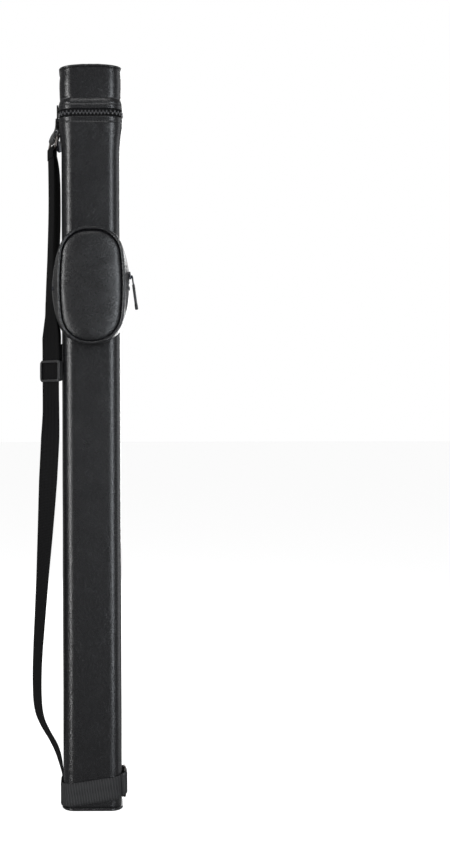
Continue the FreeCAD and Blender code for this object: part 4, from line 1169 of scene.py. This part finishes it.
def rod(middle, at, along, radius, u, v, count=16):
    """A round bar: a circle radius (u cos + v sin) at each distance in at along a line through its middle."""
    a = full_turn(count)
    circle = np.cos(a)[None, :, None] * u + np.sin(a)[None, :, None] * v
    return middle + at[:, None, None] * along + np.reshape(radius, (-1, 1, 1)) * circle


outside = STRAP_AT - BUCKLE_OUT * 1.65
ring_points = frame_ring(outside, BUCKLE_ACROSS, UP, BUCKLE_OUT, half_w=13.5, half_h=10.6, corner=2.4, wide=2.7,
                         deep=1.75)
bend = np.abs((ring_points - outside) @ BUCKLE_ACROSS)
ring_points = ring_points + BUCKLE_OUT * (3.4 * smooth_step((bend - 12.3) / 1.2))[..., None]
frame_piece = surface("buckle_frame", ring_points, buckle_plastic, "adjuster", loop_rows=True)
bar_at = np.linspace(-13.6, 13.6, 30)
ribs = 1.22 + 0.06 * np.sin(bar_at * 2 * math.pi / 2.0)
bar = rod(CENTRE_BAR - BUCKLE_OUT * 0.1, bar_at, BUCKLE_ACROSS, ribs, BUCKLE_OUT, UP)
surface("buckle_bar", bar, buckle_plastic, "adjuster")
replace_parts(frame_piece, "strap_buckle")
for end, side in (("front", -1), ("rear", 1)):
    rounded_block(f"buckle_side_{end}", STRAP_AT + BUCKLE_OUT * 1.3 + BUCKLE_ACROSS * side * 13.7,
                  (BUCKLE_OUT, BUCKLE_ACROSS, UP), (3.4, 1.1, 10.8), buckle_plastic, "adjuster")
print("buckle made")

# %% [markdown]
# ## The cinch band round the foot
# A strip of webbing, tilted so that it climbs towards the ring side, holds the strap's lower end against the
# tube. It is folded round one bar of a wire ring. Its tail is folded round the other bar, lies over the corner
# and sticks to a patch of loops on the back. The strap's foot makes a bump where the band passes over it.

# %% Cinch band
TILT = math.tan(math.radians(8.5))
BAND_Z, BAR_Y, PIVOT_X, WIRE = 21.5, 5.5, 35.75, 1.5


def raise_to_tilt(xy):
    """Points on the tilted band's middle line: the height at its middle plus the tilt times x."""
    return np.hstack([xy, BAND_Z + TILT * xy[:, :1]])


def plan_at(distance, grow):
    """(x, y) on the section at these distances round it, grown by grow."""
    frames = round_frames(np.asarray(distance) % OUTLINE_LENGTH, 0, 0)
    return frames[:, 3, :2] + frames[:, 1, :2] * np.asarray(grow).reshape(-1, 1)


def plan_distance(x, y):
    """The distance round the section of the point nearest to (x, y)."""
    return float(ROUND[np.argmin(np.hypot(OUTLINE[:, 0] - x, OUTLINE[:, 1] - y))])


def tilted_strip(name, xy, body, node, material=band_webbing, thickness=1.35, width=25.4):
    """A strip of webbing on edge along a plan path, its width square to the tilted path."""
    path = raise_to_tilt(np.asarray(xy))
    along = unit(np.gradient(path, axis=0))
    out = unit(np.cross(along, UP))
    piece, length = ribbon(name, path, np.cross(out, along), material, body, width=width, thickness=thickness)
    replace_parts(piece, node)
    return piece, length


SIDE_START = OUTLINE_LENGTH - 2 * CENTRE_Y
distances = np.arange(-1.5, SIDE_START + 0.5, 1.6)
xy = plan_at(distances, 0.0)
bump = smooth_step((15.5 - np.abs(xy[:, 1])) / 3.0) * (xy[:, 0] < 0)
grow = 0.92 + 1.3 * bump + 0.06 * ripple(distances, 0 * distances, 81, 7.0)
around = plan_at(distances, grow)


def bar_wrap(y, first, last, radius):
    """Plan points round the ring's bar at this y, from the first to the last angle in degrees."""
    a = np.radians(np.linspace(first, last, 19))
    return np.array([PIVOT_X, y]) + radius * np.stack([np.cos(a), np.sin(a)], -1)


wrap = bar_wrap(-BAR_Y, 180, -25, WIRE + 0.78)
outer_end = plan_at(SIDE_START - np.array([1.0, 2.5, 4.0, 5.5, 7.0]), 2.4)
whole = np.vstack([around, straight(around[-1], wrap[0], 6)[1:-1], wrap,
                   straight(wrap[-1], outer_end[0], 6)[1:-1], outer_end])
cinch, length = tilted_strip("cinch_webbing", whole, "case_body", "cinch_band")
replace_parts(cinch, "cinch_ring_loop")
print("cinch band", round(float(length)), "mm")

# %% [markdown]
# The foot of the strap is tucked under the band, and the loop patch lies on the band's back.

# %% Foot, patch and tail
foot_path = straight((-33.35, 0, 9.2), (-33.35, 0, 31.9), 12)
foot, _ = ribbon("strap_foot_webbing", foot_path, np.tile(Y_AXIS, (12, 1)), webbing, "case_body",
                 thickness=1.2)
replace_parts(foot, "strap_foot")
patch_xy = np.stack([np.linspace(25.0, -24.5, 34), np.full(34, FACE_Y + 1.65 + 0.30)], -1)
beyond = np.abs(patch_xy[:, 0]) - CENTRE_X
drop = CORNER + 1.65 - np.sqrt(np.maximum((CORNER + 1.65) ** 2 - np.clip(beyond, 0, None) ** 2, 0))
patch_xy[:, 1] -= drop
tilted_strip("loop_patch_cloth", patch_xy, "case_body", "loop_patch", loop_pile, 0.62, 24.6)

tail_stop = plan_distance(13.7, FACE_Y)
distances = np.arange(0.5, tail_stop + 0.5, 1.5)
tail_out = plan_at(distances, 3.72 + 0.05 * ripple(distances, 0 * distances, 82, 5.0))
tip = np.array([[13.7, FACE_Y + 3.72]])
wrap = bar_wrap(BAR_Y, 180, 380, WIRE + 0.66)
inner_end = np.array([[PIVOT_X - 2.0, BAR_Y + 3.1], [PIVOT_X - 2.15, BAR_Y + 1.5]])
tail_xy = np.vstack([inner_end, wrap, straight(wrap[-1], tail_out[0], 5)[1:-1], tail_out, tip])
_, length = tilted_strip("cinch_tail_webbing", tail_xy, "cinch_flap", "cinch_tail", thickness=1.2)
hook_at = distances[plan_at(distances, 0)[:, 1] > CENTRE_Y + 4]
tilted_strip("hook_patch_cloth", np.vstack([plan_at(hook_at, 2.86), [[14.2, FACE_Y + 2.86]]]), "cinch_flap",
             "hook_patch", hook_pile, 0.4, 23.5)
print("cinch tail", round(float(length)), "mm")

# %% [markdown]
# ## Sliders and pulls
# The lid's slider is a low rounded body on the zip with a bail over it. Its pull is a long racetrack with a slot,
# hanging flat against the corner. The pouch's slider is smaller and carries a link with a braided cord. Both are
# built in the frame of their own place: outwards, along the zip, and up.

# %% Sliders
LID_SLIDER_TURN = math.radians(38.0)
CORNER_CENTRE = np.array([-CENTRE_X, CENTRE_Y, 0.0])
LID_OUT = np.array([-math.cos(LID_SLIDER_TURN), math.sin(LID_SLIDER_TURN), 0.0])
LID_ALONG = np.array([LID_OUT[1], -LID_OUT[0], 0.0])
LID_AXES = (LID_OUT, LID_ALONG, UP)
slider_middle = CORNER_CENTRE + LID_OUT * 17.85 + UP * 766.6
rounded_block("lid_slider_body", slider_middle, LID_AXES, (1.15, 4.4, 3.6), slider_paint, "lid_slider",
              power=0.5)
PIVOT = CORNER_CENTRE + LID_OUT * 20.45 + UP * 767.5
bail = rounded_block("lid_slider_bail", CORNER_CENTRE + LID_OUT * 19.3 + UP * 768.0, LID_AXES, (1.25, 1.15, 2.0),
                     slider_paint, "lid_slider", power=0.6)
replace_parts(bail, "lid_zip_slider")


def racetrack(half_w, top, bottom, count=16):
    """(points, normals) round an upright racetrack: two half circles of radius half_w joined by straight sides."""
    a = np.radians(np.linspace(0, 180, count))
    high = np.stack([half_w * np.cos(a), top - half_w + half_w * np.sin(a)], -1)
    low = np.stack([-half_w * np.cos(a), bottom + half_w - half_w * np.sin(a)], -1)
    normal = np.vstack([np.stack([np.cos(a), np.sin(a)], -1), np.stack([-np.cos(a), -np.sin(a)], -1)])
    return np.vstack([high, low]), normal


def plate_with_slot(name, origin, axes, outer, hole, thick, edge, body):
    """A plate between an outer racetrack and its slot's: one closed band, its edges rounded by edge (1 - cos)."""
    out, along, up = axes
    rings = []
    for (plane, normal), inwards, first in ((outer, -1, -90), (hole, 1, 90)):
        for angle in np.radians(np.linspace(first, -first, 7)):
            rings.append((plane + inwards * normal * edge * (1 - math.cos(angle)), math.sin(angle) * thick / 2))
    points = np.stack([origin + plane[:, :1] * along + plane[:, 1:] * up + depth * out for plane, depth in rings], 1)
    return surface(name, points, slider_paint, body, loop_rows=True)


pull = plate_with_slot("lid_pull_plate", PIVOT + LID_OUT * 0.15, LID_AXES, racetrack(4.6, 1.0, -30.6),
                       racetrack(1.9, -1.5, -18.0), 1.9, 0.45, "lid_pull")
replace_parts(pull, "lid_zip_pull")
pin = rod(PIVOT, np.linspace(-2.3, 2.3, 4), LID_ALONG, 0.85, LID_OUT, UP)
surface("lid_pull_pin", pin, slider_paint, "lid_pull")

ZIP_SIDE_X, ZIP_SIDE_RADIUS = ZIP[0], ZIP[3]
RISE = math.asin(11.5 / ZIP_SIDE_RADIUS)
ZIP_SIDE_CENTRE = np.array([ZIP_SIDE_X - ZIP_SIDE_RADIUS, 0.0, POUCH_MIDDLE])
P_OUT = np.array([math.cos(RISE), 0.0, math.sin(RISE)])
P_UP = np.array([-math.sin(RISE), 0.0, math.cos(RISE)])
P_ALONG = Y_AXIS
P_AXES = (P_OUT, P_ALONG, P_UP)


def pouch_place(x, y, z):
    """A place beside the pouch's zip: x outwards from the zip's middle line, y, and z up, before the turn."""
    return ZIP_SIDE_CENTRE + P_OUT * (x - ZIP_SIDE_CENTRE[0]) + P_UP * (z - POUCH_MIDDLE) + P_ALONG * y


SLIDER_BACK = ZIP_SIDE_X + 0.7
PULL_Z = POUCH_MIDDLE - 1.5
rounded_block("pouch_slider_body", pouch_place(SLIDER_BACK + 1.0, ZIP_LINE_Y, POUCH_MIDDLE), P_AXES,
              (1.05, 3.5, 4.4), slider_paint, "pouch_slider", power=0.5)
bail = rounded_block("pouch_slider_bail", pouch_place(SLIDER_BACK + 2.6, ZIP_LINE_Y, PULL_Z), P_AXES,
                     (1.4, 1.0, 1.8), slider_paint, "pouch_slider", power=0.6)
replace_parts(bail, "pouch_zip_slider")
POUCH_PIVOT = pouch_place(SLIDER_BACK + 3.4, ZIP_LINE_Y, PULL_Z)
LEAN = math.radians(7.5)
HANG_UP = np.array([-math.sin(LEAN), 0.0, math.cos(LEAN)])
HANG_OUT = np.array([math.cos(LEAN), 0.0, math.sin(LEAN)])


def hang(x, y, z):
    """A place on the hanging pull, from its pivot: out, along the zip, up."""
    return POUCH_PIVOT + HANG_OUT * x + P_ALONG * y + HANG_UP * z


link = plate_with_slot("pouch_pull_link", POUCH_PIVOT, (HANG_OUT, P_ALONG, HANG_UP), racetrack(2.9, 0.9, -10.0),
                       racetrack(1.6, -0.9, -7.2), 1.5, 0.4, "pouch_pull")
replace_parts(link, "pouch_zip_pull")


def braid(top, bottom, radius, material, body, strands=8, pitch=4.2):
    """A braided cord: radius (1 + 0.07 sin(n a + w z) + 0.07 sin(n a - w z)), closed and rounded at the end."""
    steps, sides = 90, 32
    t = np.linspace(0, 1, steps)
    length = np.linalg.norm(bottom - top)
    ahead = unit(bottom - top)
    side = unit(np.cross(ahead, P_ALONG))
    other = np.cross(ahead, side)
    a = full_turn(sides)
    wave = 2 * math.pi * t[:, None] * length / pitch
    ripples = 0.09 * np.sin(strands / 2 * a + wave) + 0.09 * np.sin(strands / 2 * a - wave)
    closing = np.sqrt(np.clip(1 - np.clip((t - 0.955) / 0.045, 0, 1) ** 2, 0.02, 1))
    r = radius * (1 + ripples * 0.8) * closing[:, None]
    path = top + (bottom - top) * t[:, None]
    points = path[:, None] + r[..., None] * (np.cos(a)[None, :, None] * side + np.sin(a)[None, :, None] * other)
    return surface("pouch_pull_cord", points, material, body, size=(length, 2 * math.pi * radius))


cord_braid = make_plain("pull_cord", (0.016, 0.016, 0.018), 0.62, 3600.0, 0.00012, sheen=0.25)
braid(hang(0, 0, -8.6), hang(0, 0, -31.0), 1.45, cord_braid, "pouch_pull")
tip = np.array([[0.9, -30.5], [1.55, -30.1], [1.72, -30.9], [1.72, -35.2], [1.5, -36.0], [0.7, -36.2]])
turn = full_turn(20)
grip = np.array([[hang(r * math.cos(a), r * math.sin(a), z) for a in turn] for r, z in tip])
surface("pouch_pull_tip", grip, buckle_plastic, "pouch_pull")
print("sliders and pulls made")

# %% [markdown]
# ## Everything that shows as it is
# The wire rings, the tubes, the mouth's plate and the linings are right as they were designed, so they only get
# finishes. Each inner piece gets the finish of its own material.

# %% Finishes for designed pieces
FINISH = {"ring_metal": ring_metal, "bore_tube": core_plastic, "core_board": core_plastic, "lining": lining_cloth,
          "foam": foam, "stiff_board": pressed_board, "leatherette": leatherette, "webbing": webbing,
          "zip_tape": zip_tape, "zip_coil": zip_teeth, "buckle_plastic": buckle_plastic, "slider_metal": slider_paint,
          "loop_pile": loop_pile, "hook_pile": hook_pile, "pull_cord": cord_braid}
slot_of = {part["node"]: part["material_slot"] for part in frame["record"]["subparts"]}
for name, node in frame["nodes"].items():
    node.data.materials.clear()
    node.data.materials.append(FINISH[slot_of[name]])
print("finishes given to", len(frame["nodes"]), "designed pieces")

# %% [markdown]
# ## Floor and light
# A plain pale floor and a white room. A tall narrow soft light at the left makes the long streak down the front
# corner, a broader one at the right fills the other side, and a dim one there lights the side itself. One behind
# shows the grain on the back, and one overhead catches the rims. The room looks white to the camera but lights
# the case only a little, because a black case loses its streaks in a bright room.

# %% Floor and light
def floor_disc(radius, rings=24, sides=96):
    """A flat slab just below the case: its rings stand at radius times f^2, for f from 0.03 to 1."""
    f = np.linspace(0.03, 1, rings) ** 2 * radius
    a = full_turn(sides)
    top = np.stack([f[:, None] * np.cos(a), f[:, None] * np.sin(a), np.full((rings, sides), -0.02)], -1)
    under = top[::-1].copy()
    under[..., 2] = -40.0
    return np.vstack([top, under])


ROOM_LIGHT = 0.30
pale_floor = make_plain("pale_floor", (0.5, 0.5, 0.5), 0.9, 30.0, 0.0002, spread=0.01)
floor_shader = next(n for n in pale_floor.node_tree.nodes if n.type == "BSDF_PRINCIPLED")
floor_shader.inputs["Emission Color"].default_value = (1, 1, 1, 1)
floor_shader.inputs["Emission Strength"].default_value = 0.8
floor = surface("floor", floor_disc(30000.0), pale_floor, None)
floor.visible_glossy = False

world = bpy.data.worlds.new("room")
world.use_nodes = True
room = Signal(world.node_tree)
seen = room.node("ShaderNodeLightPath")
strength = seen * (1.0 - ROOM_LIGHT) + ROOM_LIGHT
background = world.node_tree.nodes["Background"]
background.inputs["Color"].default_value = (1, 1, 1, 1)
world.node_tree.links.new(strength.socket, background.inputs["Strength"])
bpy.context.scene.world = world
bpy.context.scene.view_settings.view_transform = "Standard"


def soft_light(name, turn, distance, height, width, tall, power, colour=(1, 1, 1), tilt=0.0, dip=0.0):
    """A rectangular soft light facing the case, unseen by the camera.

    turn is degrees from straight in front towards the strap side, distance is in metres, tilt leans its top, and
    dip points it down.
    """
    data = bpy.data.lights.new(name, "AREA")
    data.shape = "RECTANGLE"
    data.size, data.size_y = width, tall
    data.energy, data.color = power, colour
    lamp = bpy.data.objects.new(name, data)
    a = math.radians(turn)
    lamp.location = (-distance * math.sin(a), -distance * math.cos(a), height)
    lamp.rotation_euler = (math.radians(90 - dip), 0, -a)
    lamp.rotation_euler.rotate_axis("Z", math.radians(tilt))
    lamp.visible_camera = False
    bpy.context.scene.collection.objects.link(lamp)
    return lamp


soft_light("left_strip", 44, 1.6, 0.62, 0.13, 1.9, 34.0, tilt=17)
soft_light("right_strip", -31, 1.7, 0.60, 0.26, 1.8, 26.0, (0.90, 0.95, 1.0))
soft_light("right_rim", -104, 1.5, 0.60, 0.7, 1.8, 8.0, (0.93, 0.96, 1.0))
soft_light("back_fill", -163, 2.0, 0.85, 1.0, 1.5, 32.0)
soft_light("overhead", 6, 1.0, 2.5, 0.9, 0.5, 9.0, dip=58)
print("floor and lights ready")
